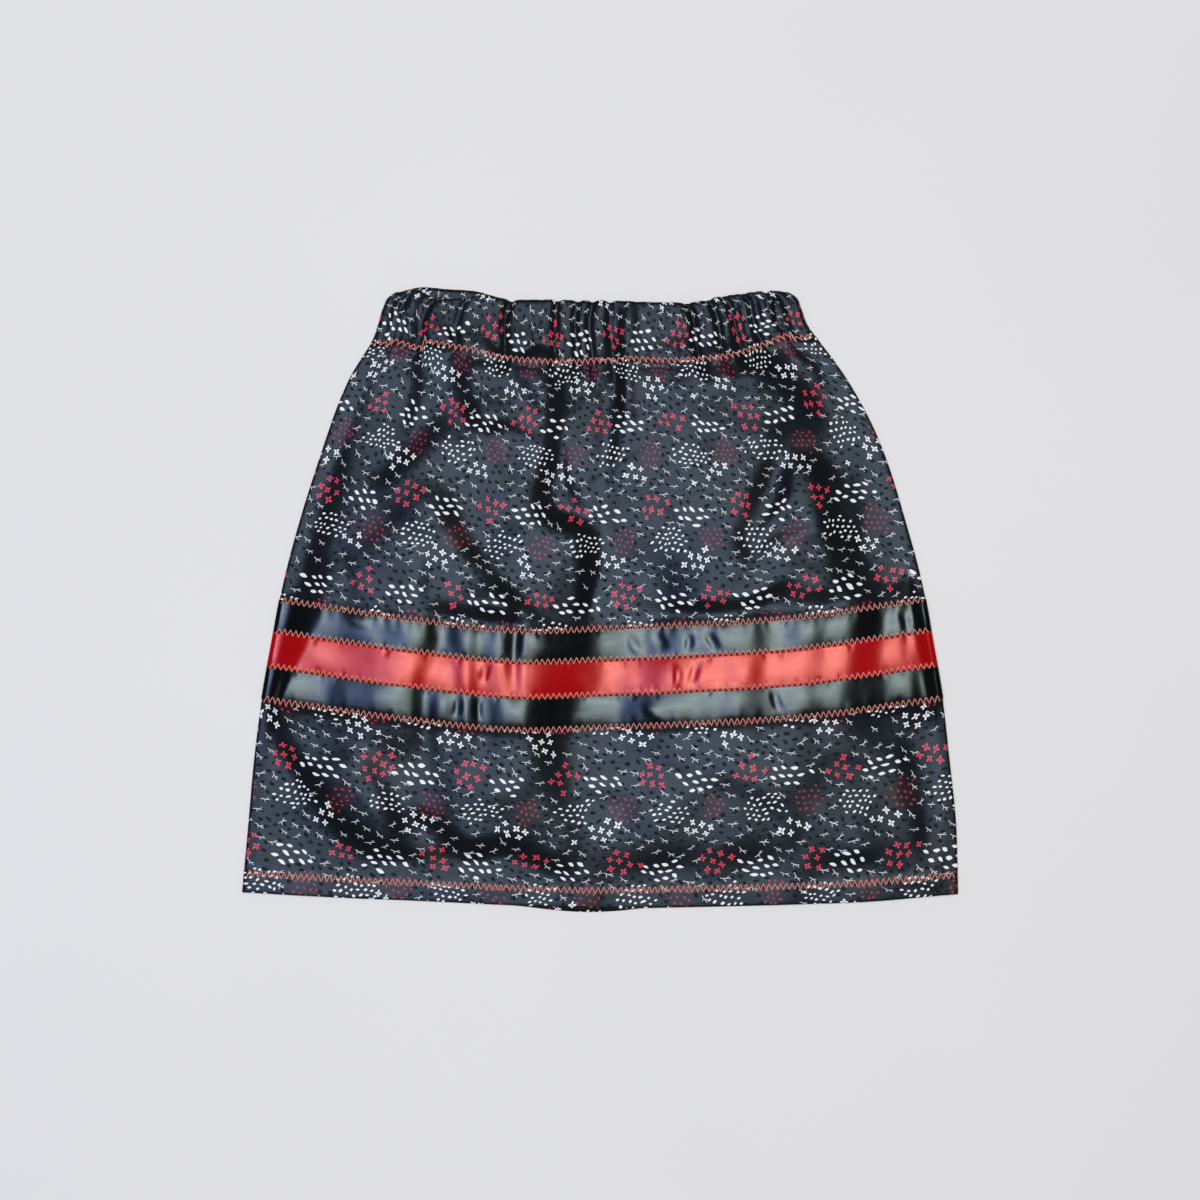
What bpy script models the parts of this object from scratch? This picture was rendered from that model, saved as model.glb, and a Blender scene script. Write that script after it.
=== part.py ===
"""Ribbon skirt: an elastic-waisted cotton skirt with three satin ribbons round it, lying flat.

Metres, +Z up. +X runs across the skirt and +Y towards its waist. The back panel lies on z = 0, the front
panel lies on the back panel, and each ribbon lies on the outside of its panel. Every wall is an open
surface, lofted across the skirt from its left side seam to its right one, and given its thickness inwards
(outwards on a ribbon).
"""

from collections import namedtuple
from math import cos, pi, radians, sin

import bmesh
import bpy
import numpy as np

MM = 0.001

# Driving sizes, in millimetres.
PANEL_WALL = 1.2
CASING_WALL = 2.2
HEM_WALL = 1.7
RIBBON_WALL = 1.0
RIBBON_WIDTH = 22.0
RIBBON_COUNT = 3
GAP = 0.3
SIDE_HOLLOW = 0.6  # radius left inside the turn of a side seam
SIDE_BLEND = 12.0  # how far in from a side the panels take to settle on each other
SEAM_LIP = 0.5  # upright strip where front and back meet
SHOULDERS = (radians(30), radians(62))  # the points within a side's turn, as angles up from the seam
TOP_LIP = 0.8  # how far the waist's fold rolls over
LEAST_STAND = 0.2  # the front panel's least height above lying flat
RIBBON_RAMP = 5.0  # length over which a panel climbs onto its ribbons
RIBBON_LIFT = RIBBON_WALL + GAP

# Five lines run across the skirt: 0 the waist's fold, 1 the casing's seam, 2 the top of the ribbons, 3 their
# foot and 4 the hem's edge. A level is a place down the length, such as 1.5 for halfway from 1 to 2.
FOLD, SEAM, RIBBONS, RIBBONS_FOOT, HEM = range(5)
LINE_SPACING = (40.0, 178.0, RIBBON_COUNT * RIBBON_WIDTH, 120.0)  # about how far each line is from the next

Point = namedtuple("Point", "x y")
FRONT_FOLD = [
    Point(-136, 204.5), Point(-125, 206.8), Point(-112, 200.8), Point(-96, 200.2), Point(-80, 203.0),
    Point(-66, 200.4), Point(-26, 199.5), Point(6, 198.9), Point(42, 197.6), Point(66, 198.3),
    Point(82, 202.2), Point(105, 205.0), Point(119, 205.8), Point(125.5, 204.5),
]
BACK_FOLD = [
    Point(-136, 204.5), Point(-125, 207.5), Point(-103, 206.6), Point(-80, 204.4), Point(-66, 199.6),
    Point(-26, 198.6), Point(42, 196.8), Point(66, 197.6), Point(82, 201.4), Point(105, 204.2),
    Point(125.5, 204.5),
]
CASING_SEAM = [
    Point(-150, 172.6), Point(-122, 169.5), Point(-95, 167.0), Point(-64, 160.6), Point(-32, 157.6),
    Point(16, 159.4), Point(64, 159.0), Point(95, 163.2), Point(111, 168.4), Point(127, 173.8),
    Point(145, 175.6),
]
RIBBON_TOP = [
    Point(-212, 0.2), Point(-129, -11.9), Point(-44, -20.4), Point(0, -18.9), Point(62, -16.0),
    Point(126, -12.0), Point(218, 0.6),
]
RIBBON_FOOT = [Point(p.x, p.y - RIBBON_COUNT * RIBBON_WIDTH) for p in RIBBON_TOP]
FRONT_HEM = [
    Point(-238, -194.3), Point(-180, -197.6), Point(-117, -200.2), Point(-53, -203.2), Point(3, -205.0),
    Point(58, -204.2), Point(122, -202.6), Point(178, -200.6), Point(238, -195.6),
]
BACK_HEM = [
    Point(-238, -194.3), Point(-180, -197.4), Point(-53, -203.6), Point(-26, -206.6), Point(-8, -207.5),
    Point(10, -206.8), Point(34, -204.4), Point(122, -202.2), Point(238, -195.6),
]

Side = namedtuple("Side", "y left right")
SIDES = [
    Side(-195.6, -238.1, 238.1),
    Side(-146.0, -233.6, 236.6),
    Side(-106.0, -230.0, 232.4),
    Side(-66.0, -224.8, 227.8),
    Side(-26.5, -217.8, 221.0),
    Side(13.0, -210.2, 213.8),
    Side(53.0, -199.6, 203.0),
    Side(93.0, -187.0, 190.6),
    Side(113.0, -180.3, 182.6),
    Side(133.0, -173.0, 172.4),
    Side(152.5, -163.8, 160.4),
    Side(162.5, -157.6, 153.2),
    Side(172.5, -151.4, 145.6),
    Side(182.5, -147.8, 138.2),
    Side(195.0, -143.9, 133.3),
    Side(201.6, -140.2, 129.9),
    Side(204.5, -136.0, 125.5),
]

TURN_STEP = 1e-4  # the fraction of the width that each point round a side counts for, in order
SAME_PLACE = 1e-9  # fractions closer than this are one column

# How high the front panel stands above lying flat on the back panel, down the length.
Puff = namedtuple("Puff", "level height")
PUFFS = [
    Puff(0.0, 1.4), Puff(0.05, 2.2), Puff(0.5, 3.2), Puff(0.93, 3.0), Puff(1.0, 2.2), Puff(1.05, 3.2),
    Puff(1.2, 3.6), Puff(1.5, 3.4), Puff(1.8, 3.0), Puff(2.0, 2.4), Puff(3.0, 2.2), Puff(3.6, 2.2),
    Puff(4.0, 0.9),
]

# The elastic's gathers on the front: where each valley crosses the casing's seam, its depth, and how far
# below the seam it fades.
Gather = namedtuple("Gather", "x depth tail")
GATHERS = [
    Gather(-139.9, 1.9, 34), Gather(-131.9, 1.0, 18), Gather(-124.6, 0.8, 16), Gather(-117.4, 1.9, 42),
    Gather(-106.1, 0.8, 16), Gather(-94.8, 1.4, 50), Gather(-82.9, 0.6, 16), Gather(-72.9, 0.7, 16),
    Gather(-61.7, 2.0, 26), Gather(-53.0, 0.6, 16), Gather(-44.4, 1.0, 32), Gather(-34.5, 1.7, 24),
    Gather(-25.2, 2.4, 90), Gather(-13.9, 1.0, 24), Gather(-4.6, 1.1, 24), Gather(3.3, 0.7, 16),
    Gather(10.6, 1.9, 90), Gather(17.9, 1.9, 20), Gather(29.8, 0.7, 16), Gather(41.8, 0.8, 16),
    Gather(53.0, 0.7, 16), Gather(64.3, 1.2, 18), Gather(71.6, 1.5, 48), Gather(80.9, 1.3, 24),
    Gather(88.8, 0.8, 18), Gather(96.8, 1.6, 24), Gather(104.1, 0.9, 18), Gather(111.4, 1.5, 46),
    Gather(119.3, 2.0, 34), Gather(127.3, 2.2, 42), Gather(134.6, 1.1, 24),
]

# The front's largest folds: each bends from its first point past its middle one to its last. A positive
# height is a ridge and a negative one is a trough.
CREASE_TAPER = 0.25  # the share of a fold's length over which each end fades
CREASE_STEPS = 40
Crease = namedtuple("Crease", "x0 y0 x1 y1 x2 y2 half_width height")
CREASES = [
    Crease(-30, 158, -29, 110, -28, 58, 10, -3.0),
    Crease(-17, 150, -17, 110, -16, 66, 10, 2.4),
    Crease(10, 158, 9, 120, 7, 74, 9, -2.6),
    Crease(19, 160, 19, 90, 18, 14, 9, 2.4),
    Crease(-35, 60, -20, 50, -4, 46, 10, -2.4),
    Crease(-6, 50, -3, 24, -2, 0, 9, -2.2),
    Crease(-20, -16, -22, -50, -24, -88, 15, -1.6),
    Crease(-123, 164, -124, 145, -122, 124, 10, -2.6),
    Crease(-93, 158, -92, 116, -46, 114, 11, -2.8),
    Crease(-103, 124, -122, 98, -144, 78, 11, -2.8),
    Crease(-116, 84, -96, 26, -46, -14, 14, -2.8),
    Crease(-184, 80, -196, 40, -200, 0, 20, -1.6),
    Crease(74, 160, 75, 146, 77, 130, 10, -2.2),
    Crease(111, 166, 111, 150, 110, 134, 9, -2.2),
    Crease(117, 176, 142, 150, 168, 110, 10, 3.2),
    Crease(114, 166, 130, 134, 154, 112, 11, -3.2),
    Crease(128, 172, 150, 146, 172, 134, 9, -2.4),
    Crease(136, 100, 164, 50, 168, -2, 15, -2.4),
    Crease(113, 90, 74, 44, 114, 18, 14, -2.4),
    Crease(38, -6, 90, -12, 128, 18, 10, -2.0),
    Crease(-219, -76, -205, -134, -140, -166, 14, -2.2),
    Crease(-152, -160, -70, -154, -8, -176, 12, -1.6),
    Crease(-160, -104, -146, -140, -132, -152, 12, -1.4),
    Crease(-196, 2, -198, -30, -202, -68, 14, -1.4),
    Crease(-110, -10, -108, -44, -104, -84, 12, -1.2),
    Crease(-56, -18, -56, -50, -60, -86, 12, -1.2),
    Crease(38, -16, 40, -50, 46, -86, 12, -1.2),
    Crease(148, -8, 148, -40, 146, -76, 12, -1.2),
    Crease(178, -4, 180, -40, 184, -74, 12, -1.4),
    Crease(66, 120, 108, 132, 136, 134, 12, -1.4),
]

# Where the loft has its sections, as levels down the length.
RAMP_UP = RIBBONS - RIBBON_RAMP / LINE_SPACING[SEAM]
RAMP_DOWN = RIBBONS_FOOT + RIBBON_RAMP / LINE_SPACING[RIBBONS_FOOT]
CASING_END = SEAM + 0.02
HEM_START = 3.86
HEM_FULL = 3.9
RIBBON_EDGES = [RIBBONS + n / RIBBON_COUNT for n in range(RIBBON_COUNT + 1)]
GATHERED = [0.0, 0.05, 0.3, 0.62, 0.88, 1.0, CASING_END, 1.06, 1.13]
FALLING = [1.2, 1.28, 1.36, 1.44, 1.52, 1.6, 1.68, 1.76, 1.84]
FOOT = [3.16, 3.3, 3.44, 3.58, 3.72, HEM_START, HEM_FULL, 4.0]
PLAIN = [1.91, RAMP_UP, *RIBBON_EDGES, RAMP_DOWN, *FOOT]
BACK_LEVELS = [0.0, 0.05, 0.5, 1.0, CASING_END, 1.25, 1.5, 1.75, RAMP_UP, *RIBBON_EDGES, RAMP_DOWN]
BACK_LEVELS += [3.3, 3.6, HEM_START, HEM_FULL, 4.0]
FRONT_COLUMNS = 44
BACK_COLUMNS = 24

Finish = namedtuple("Finish", "name colour roughness")
COTTON = Finish("dark_cotton", (0.035, 0.043, 0.045, 1), 0.6)
CHARCOAL = Finish("charcoal_satin", (0.03, 0.035, 0.034, 1), 0.3)
RED = Finish("red_satin", (0.7, 0.03, 0.03, 1), 0.3)
RIBBON_ROWS = [("upper", CHARCOAL), ("middle", RED), ("lower", CHARCOAL)]


def smooth(xs, ys, at):
    """The cubic curve through (xs, ys), read at any x."""
    xs, ys = np.array(xs, float), np.array(ys, float)
    slopes = np.gradient(ys, xs)
    at = np.clip(at, xs[0], xs[-1])
    i = np.clip(np.searchsorted(xs, at) - 1, 0, len(xs) - 2)
    span = xs[i + 1] - xs[i]
    t = (at - xs[i]) / span
    value = ys[i] * (1 + 2 * t) * (1 - t) ** 2 + ys[i + 1] * t**2 * (3 - 2 * t)
    return value + span * (slopes[i] * t * (1 - t) ** 2 + slopes[i + 1] * t**2 * (t - 1))


def ease(t):
    """0 before 0, 1 after 1, and smooth between."""
    t = np.clip(t, 0, 1)
    return t * t * (3 - 2 * t)


def across(line, fraction):
    """The y of a line across the skirt, at a fraction of its way from left to right."""
    xs, ys = zip(*line)
    return float(smooth(xs, ys, xs[0] + fraction * (xs[-1] - xs[0])))


def side(y):
    """The x of the left and the right side seam at a y."""
    ys, left, right = zip(*SIDES)
    return float(smooth(ys, left, y)), float(smooth(ys, right, y))


def wall(level):
    """A panel's thickness: thickest in the casing, and doubled at the hem."""
    stops = (SEAM, CASING_END, HEM_START, HEM_FULL)
    return float(np.interp(level, stops, (CASING_WALL, PANEL_WALL, PANEL_WALL, HEM_WALL)))


def lift(level):
    """How far the ribbons under the back panel raise it."""
    stops = (RAMP_UP, RIBBONS, RIBBONS_FOOT, RAMP_DOWN)
    return float(np.interp(level, stops, (0, RIBBON_LIFT, RIBBON_LIFT, 0)))


def gather_phases():
    """Where the gathers' valleys are along the casing's seam, as fractions of its width."""
    left, right = CASING_SEAM[0].x, CASING_SEAM[-1].x
    return [(g.x - left) / (right - left) for g in GATHERS]


def gather_columns(parts):
    """Fractions that cut each gather in so many parts, starting from its valley."""
    stops = [0.0, *gather_phases(), 1.0]
    return [a + (b - a) * n / parts for a, b in zip(stops, stops[1:]) for n in range(parts)] + [1.0]


def gathering(fraction, drop):
    """The depth of the elastic's gathers, at a fraction of the width and a drop below the casing's seam."""
    phase = np.interp(fraction, [0.0, *gather_phases(), 1.0], range(len(GATHERS) + 2))
    depth = 0.0
    for number, gather in enumerate(GATHERS, 1):
        away = abs(phase - number)
        if away < 0.5:
            depth += gather.depth * cos(pi * away) ** 2 * (1 - float(ease(drop / gather.tail)))
    return depth


def creasing(x, y):
    """The height of the folds at a point of the front."""
    height = 0.0
    t = np.linspace(0, 1, CREASE_STEPS + 1)
    for c in CREASES:
        along_x = (1 - t) ** 2 * c.x0 + 2 * t * (1 - t) * c.x1 + t**2 * c.x2
        along_y = (1 - t) ** 2 * c.y0 + 2 * t * (1 - t) * c.y1 + t**2 * c.y2
        away = np.hypot(along_x - x, along_y - y)
        near = int(away.argmin())
        if away[near] < c.half_width:
            fade = ease(min(t[near], 1 - t[near]) / CREASE_TAPER)
            height += c.height * fade * cos(pi / 2 * away[near] / c.half_width) ** 2
    return height


class Panel:
    """One side of the skirt: where each of its outer points is."""

    def __init__(self, front):
        self.front = front
        ends = (FRONT_FOLD, FRONT_HEM) if front else (BACK_FOLD, BACK_HEM)
        self.lines = (ends[0], CASING_SEAM, RIBBON_TOP, RIBBON_FOOT, ends[1])

    def line_y(self, fraction, level):
        upper = min(int(level), HEM - 1)
        share = level - upper
        a, b = across(self.lines[upper], fraction), across(self.lines[upper + 1], fraction)
        return a + (b - a) * share

    def flat_z(self, level):
        """Where the outer face is if it lies flat on what is under it."""
        return lift(level) + (2 * wall(level) + GAP if self.front else 0)

    def height(self, x, y, fraction, level, inward):
        """The outer face's z away from the sides. inward is how far in from the nearer side it is."""
        if not self.front:
            return lift(level)
        levels, puffs = zip(*PUFFS)
        drop = (level - SEAM) * LINE_SPACING[FOLD if level < SEAM else SEAM]
        stand = float(smooth(levels, puffs, level)) + creasing(x, y) - gathering(fraction, drop)
        if level == FOLD:
            stand -= TOP_LIP
        turned = 2 * SIDE_HOLLOW - GAP  # the height above flat at the side
        settled = float(ease(inward / SIDE_BLEND))
        return self.flat_z(level) + turned + (max(stand, LEAST_STAND) - turned) * settled

    def section(self, fractions, level):
        """The outer points at one level, from the left side seam to the right, as (fraction, point)."""
        left, right = side(self.line_y(0, level))[0], side(self.line_y(1, level))[1]
        radius = wall(level) + SIDE_HOLLOW
        inner_left, inner_right = left + radius, right - radius
        points = []
        for fraction in fractions:
            x = inner_left + fraction * (inner_right - inner_left)
            y = self.line_y(fraction, level)
            z = self.height(x, y, fraction, level, min(x - inner_left, inner_right - x))
            points.append((fraction, (x, y, z)))
        return self.turn(points[0], left, 1, level) + points + self.turn(points[-1], right, -1, level)[::-1]

    def turn(self, start, edge, inward, level):
        """The points that take a section's end round to the side seam, from the seam inwards."""
        fraction, (x, y, z) = start
        away = 1 if self.front else -1
        seam_z = lift(level) + wall(level) + SIDE_HOLLOW + away * GAP / 2
        lip_z = seam_z + away * SEAM_LIP
        rounded = [(edge, y, seam_z), (edge, y, lip_z)]
        rounded += [(edge + (x - edge) * (1 - cos(a)), y, lip_z + (z - lip_z) * sin(a)) for a in SHOULDERS]
        outside = [fraction - inward * n * TURN_STEP for n in range(len(rounded), 0, -1)]
        return list(zip(outside, rounded))


def mesh_rows(bm, rows):
    """Adds rows of (fraction, point) to a mesh, and joins each row to the next with triangles."""
    placed = [[(f, bm.verts.new([c * MM for c in point])) for f, point in row] for row in rows]
    for upper, lower in zip(placed, placed[1:]):
        i = j = 0
        while i < len(upper) - 1 or j < len(lower) - 1:
            at_end = j == len(lower) - 1
            if at_end or (i < len(upper) - 1 and upper[i + 1][0] <= lower[j + 1][0] + SAME_PLACE):
                bm.faces.new((upper[i][1], lower[j][1], upper[i + 1][1]))
                i += 1
            else:
                bm.faces.new((upper[i][1], lower[j][1], lower[j + 1][1]))
                j += 1
    return placed


def material(finish):
    made = bpy.data.materials.get(finish.name) or bpy.data.materials.new(finish.name)
    made.use_nodes = True
    shader = made.node_tree.nodes["Principled BSDF"]
    shader.inputs["Base Color"].default_value = finish.colour
    shader.inputs["Roughness"].default_value = finish.roughness
    shader.inputs["Metallic"].default_value = 0
    return made


def add_wall(name, rows, faces_down, finish, thickness, outwards, collection):
    """An object from rows of outer points, with a Solidify wall of each row's thickness in millimetres."""
    bm = bmesh.new()
    placed = mesh_rows(bm, rows)
    if faces_down:
        bmesh.ops.reverse_faces(bm, faces=bm.faces)
    bm.verts.index_update()
    row_of = {vert.index: number for number, row in enumerate(placed) for _, vert in row}
    mesh = bpy.data.meshes.new(name)
    bm.to_mesh(mesh)
    bm.free()
    mesh.materials.append(material(finish))
    skirt_piece = bpy.data.objects.new(name, mesh)
    collection.objects.link(skirt_piece)

    thickest = max(thickness)
    group = skirt_piece.vertex_groups.new(name="wall")
    for index, number in row_of.items():
        group.add([index], thickness[number] / thickest, "REPLACE")
    solidify = skirt_piece.modifiers.new("wall", "SOLIDIFY")
    solidify.thickness = thickest * MM
    solidify.offset = 1 if outwards else -1
    solidify.vertex_group = group.name
    mesh.shade_smooth()
    mesh.set_sharp_from_angle(angle=radians(40))
    return skirt_piece


def panel_rows(panel):
    """A panel's levels, and its section at each."""
    if not panel.front:
        columns = [n / BACK_COLUMNS for n in range(BACK_COLUMNS + 1)]
        return BACK_LEVELS, [panel.section(columns, level) for level in BACK_LEVELS]
    plain = [n / FRONT_COLUMNS for n in range(FRONT_COLUMNS + 1)]
    bands = ((GATHERED, gather_columns(3)), (FALLING, gather_columns(2)), (PLAIN, plain))
    levels = [level for band, _ in bands for level in band]
    return levels, [panel.section(columns, level) for band, columns in bands for level in band]


def ribbon_rows(panel_piece, levels, rows, top):
    """A ribbon's two edges: the points of its panel, moved out by the gap and in by half of it."""
    start = levels.index(top)
    first = sum(len(row) for row in rows[:start])
    count = len(rows[start])
    vertices = panel_piece.data.vertices
    inset = GAP / 2 / RIBBON_WIDTH
    edges = []
    for share in (inset, 1 - inset):
        edge = []
        for n in range(count):
            a, b = vertices[first + n], vertices[first + count + n]
            out = a.normal.lerp(b.normal, share).normalized()
            point = a.co.lerp(b.co, share) / MM + out * GAP
            edge.append((rows[start][n][0], tuple(point)))
        edges.append(edge)
    return edges


def add_side(front, collection):
    """One panel and its three ribbons."""
    suffix = "front" if front else "back"
    panel = Panel(front)
    levels, rows = panel_rows(panel)
    walls = [wall(level) for level in levels]
    piece = add_wall(f"{suffix}_panel", rows, not front, COTTON, walls, False, collection)
    for (place, finish), top in zip(RIBBON_ROWS, RIBBON_EDGES):
        edges = ribbon_rows(piece, levels, rows, top)
        name = f"ribbon_{place}_{suffix}"
        add_wall(name, edges, not front, finish, [RIBBON_WALL] * 2, True, collection)


def main():
    for item in list(bpy.data.objects):
        bpy.data.objects.remove(item, do_unlink=True)
    collection = bpy.data.collections.new("ribbon_skirt")
    bpy.context.scene.collection.children.link(collection)
    for front in (False, True):
        add_side(front, collection)


main()
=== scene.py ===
"""Dresses the flat ribbon skirt: printed cotton, satin ribbons, zigzag stitching and a plain studio.

Tables and forms are in millimetres, and finished meshes are in metres, +Z up, with +Y towards the
waist. A cloth or ribbon is one sheet, laid on its solid's form as rows across the skirt, from hem
to waist.
"""

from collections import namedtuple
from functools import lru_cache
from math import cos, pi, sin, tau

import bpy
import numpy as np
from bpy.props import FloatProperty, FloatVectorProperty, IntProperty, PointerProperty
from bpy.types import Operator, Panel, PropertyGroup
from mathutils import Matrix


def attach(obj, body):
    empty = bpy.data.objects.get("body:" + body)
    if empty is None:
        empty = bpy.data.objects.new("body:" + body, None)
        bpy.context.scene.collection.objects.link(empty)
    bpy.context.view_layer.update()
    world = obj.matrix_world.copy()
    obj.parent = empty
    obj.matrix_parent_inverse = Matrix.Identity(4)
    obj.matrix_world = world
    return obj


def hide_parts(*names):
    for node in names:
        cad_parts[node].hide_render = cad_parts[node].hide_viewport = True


bl_info = {
    "name": "Ribbon Skirt",
    "version": (1, 0, 0),
    "blender": (4, 5, 0),
    "location": "3D View > Sidebar > Ribbon Skirt",
    "description": "Printed cotton, satin ribbons, stitching and studio for a flat ribbon skirt",
    "category": "Object",
}

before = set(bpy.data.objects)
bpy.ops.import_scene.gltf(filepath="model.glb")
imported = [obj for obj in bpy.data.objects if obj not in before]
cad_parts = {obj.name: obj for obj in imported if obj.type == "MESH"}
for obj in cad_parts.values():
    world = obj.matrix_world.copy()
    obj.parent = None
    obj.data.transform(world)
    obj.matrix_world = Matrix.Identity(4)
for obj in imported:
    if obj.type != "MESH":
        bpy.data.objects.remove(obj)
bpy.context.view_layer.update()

MM = 0.001
BODY = "root"
CUT_UV = "cut"

# -----------------------------------------------------------------------------
# The skirt's form, in millimetres
# -----------------------------------------------------------------------------

# Five lines run across the skirt: 0 the waist's fold, 1 the casing's seam, 2 the top of the ribbons,
# 3 their foot and 4 the hem's edge. A level is a place down the length, such as 1.5 for halfway from
# 1 to 2. LINE_SPACING is how far it is from each line to the next.
FOLD, SEAM, RIBBONS, RIBBONS_FOOT, HEM = range(5)
RIBBON_WIDTH = 22.0
RIBBON_COUNT = 3
LINE_SPACING = (40.0, 178.0, RIBBON_COUNT * RIBBON_WIDTH, 120.0)

# The solids' walls, and how they turn round a side seam.
PANEL_WALL = 1.2
CASING_WALL = 2.2
HEM_WALL = 1.7
RIBBON_LIFT = 1.3
GAP = 0.3
SIDE_HOLLOW = 0.6
SIDE_BLEND = 12.0
SEAM_LIP = 0.5
SEAM_TUCK = 0.8  # how far the cloth is drawn in at the side seam
CASING_END = SEAM + 0.02
HEM_START = 3.86
HEM_FULL = 3.9
RAMP = 5.0  # how far above and below the ribbons the back comes down from them
RAMP_UP = RIBBONS - RAMP / LINE_SPACING[SEAM]
RAMP_DOWN = RIBBONS_FOOT + RAMP / LINE_SPACING[RIBBONS_FOOT]


def table(kind, rows):
    """Rows of plain values, each as a named tuple of that kind."""
    return [kind(*row) for row in rows]


Point = namedtuple("Point", "x y")
FRONT_FOLD = table(Point, [
    (-136, 204.5), (-125, 206.8), (-112, 200.8), (-96, 200.2), (-80, 203.0), (-66, 200.4),
    (-26, 199.5), (6, 198.9), (42, 197.6), (66, 198.3), (82, 202.2), (105, 205.0), (119, 205.8),
    (125.5, 204.5),
])
BACK_FOLD = table(Point, [
    (-136, 204.5), (-125, 207.5), (-103, 206.6), (-80, 204.4), (-66, 199.6), (-26, 198.6),
    (42, 196.8), (66, 197.6), (82, 201.4), (105, 204.2), (125.5, 204.5),
])
CASING_SEAM = table(Point, [
    (-150, 172.6), (-122, 169.5), (-95, 167.0), (-64, 160.6), (-32, 157.6), (16, 159.4),
    (64, 159.0), (95, 163.2), (111, 168.4), (127, 173.8), (145, 175.6),
])
RIBBON_TOP = table(Point, [
    (-212, 0.2), (-129, -11.9), (-44, -20.4), (0, -18.9), (62, -16.0), (126, -12.0), (218, 0.6),
])
RIBBON_FOOT = [Point(p.x, p.y - RIBBON_COUNT * RIBBON_WIDTH) for p in RIBBON_TOP]
FRONT_HEM = table(Point, [
    (-238, -194.3), (-180, -197.6), (-117, -200.2), (-53, -203.2), (3, -205.0), (58, -204.2),
    (122, -202.6), (178, -200.6), (238, -195.6),
])
BACK_HEM = table(Point, [
    (-238, -194.3), (-180, -197.4), (-53, -203.6), (-26, -206.6), (-8, -207.5), (10, -206.8),
    (34, -204.4), (122, -202.2), (238, -195.6),
])

Side = namedtuple("Side", "y left right")
SIDES = table(Side, [
    (-195.6, -238.1, 238.1), (-146.0, -233.6, 236.6), (-106.0, -230.0, 232.4),
    (-66.0, -224.8, 227.8), (-26.5, -217.8, 221.0), (13.0, -210.2, 213.8), (53.0, -199.6, 203.0),
    (93.0, -187.0, 190.6), (113.0, -180.3, 182.6), (133.0, -173.0, 172.4), (152.5, -163.8, 160.4),
    (162.5, -157.6, 153.2), (172.5, -151.4, 145.6), (182.5, -147.8, 138.2), (195.0, -143.9, 133.3),
    (201.6, -140.2, 129.9), (204.5, -136.0, 125.5),
])

# How high the front stands above lying flat on the back, down the length.
Puff = namedtuple("Puff", "level height")
PUFFS = table(Puff, [
    (0.0, 3.9), (0.05, 3.95), (0.5, 4.2), (0.93, 4.4), (1.0, 4.3), (1.05, 5.3), (1.12, 5.8),
    (1.25, 6.4), (1.5, 6.7), (2.0, 6.7), (3.0, 6.7), (3.3, 5.8), (3.6, 4.1), (3.8, 2.8), (4.0, 0.9),
])

# Beside each side seam the front rises within this distance by this share of its height, and by the
# rest more evenly within SHOULDER_REST.
Shoulder = namedtuple("Shoulder", "level left left_share right right_share")
SHOULDERS = table(Shoulder, [
    (0.0, 7, 0.80, 7, 0.80), (1.0, 9, 0.70, 8, 0.60), (1.15, 18, 0.45, 12, 0.25),
    (1.6, 22, 0.40, 14, 0.20), (1.8, 26, 0.50, 12, 0.20), (1.97, 32, 1.00, 8, 1.00),
    (3.0, 12, 1.00, 7, 1.00), (3.15, 9, 0.30, 5, 0.20), (4.0, 5, 0.20, 5, 0.20),
])
SHOULDER_REST = 110.0

# The elastic's gathers on the front: where each valley crosses the casing's seam, its depth, and how
# far below the seam it fades.
Gather = namedtuple("Gather", "x depth tail")
FRONT_GATHERS = table(Gather, [
    (-140.0, 1.3, 20), (-131.5, 1.2, 12), (-121.7, 1.6, 14), (-110.0, 0.5, 14), (-97.0, 1.3, 14),
    (-86.0, 0.5, 14), (-75.0, 0.6, 14), (-64.0, 2.3, 16), (-53.0, 0.6, 14), (-42.0, 0.8, 16),
    (-29.0, 1.8, 20), (-20.5, 0.7, 16), (-13.5, 1.8, 24), (-3.0, 1.7, 24), (10.5, 1.9, 26),
    (22.0, 0.6, 18), (33.0, 0.8, 18), (44.0, 0.5, 18), (54.0, 0.7, 18), (70.0, 2.1, 18),
    (79.0, 0.7, 18), (87.0, 2.1, 20), (98.5, 2.4, 18), (105.5, 1.2, 18), (112.5, 2.4, 18),
    (121.0, 1.0, 18), (130.5, 2.4, 18), (138.0, 0.9, 18),
])
CLEAR_GATHER = 1.6  # gathers less deep than this fade out
GATHER_SHAPE = ((0.3, 5.5), (0.7, 2.3))  # the shares and widths of a gather's shallow and deep parts
BACK_GATHER_SEED = 11
BACK_GATHER_PITCH = 9.2
BACK_GATHER_STRAY = 0.25
BACK_GATHER_DEPTH = (0.5, 1.1)
BACK_GATHER_TAIL = (14.0, 46.0)
SCALLOP_FRONT = 0.8  # the share of a gather's depth by which it draws the waist's fold down
SCALLOP_BACK = 0.35

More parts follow.
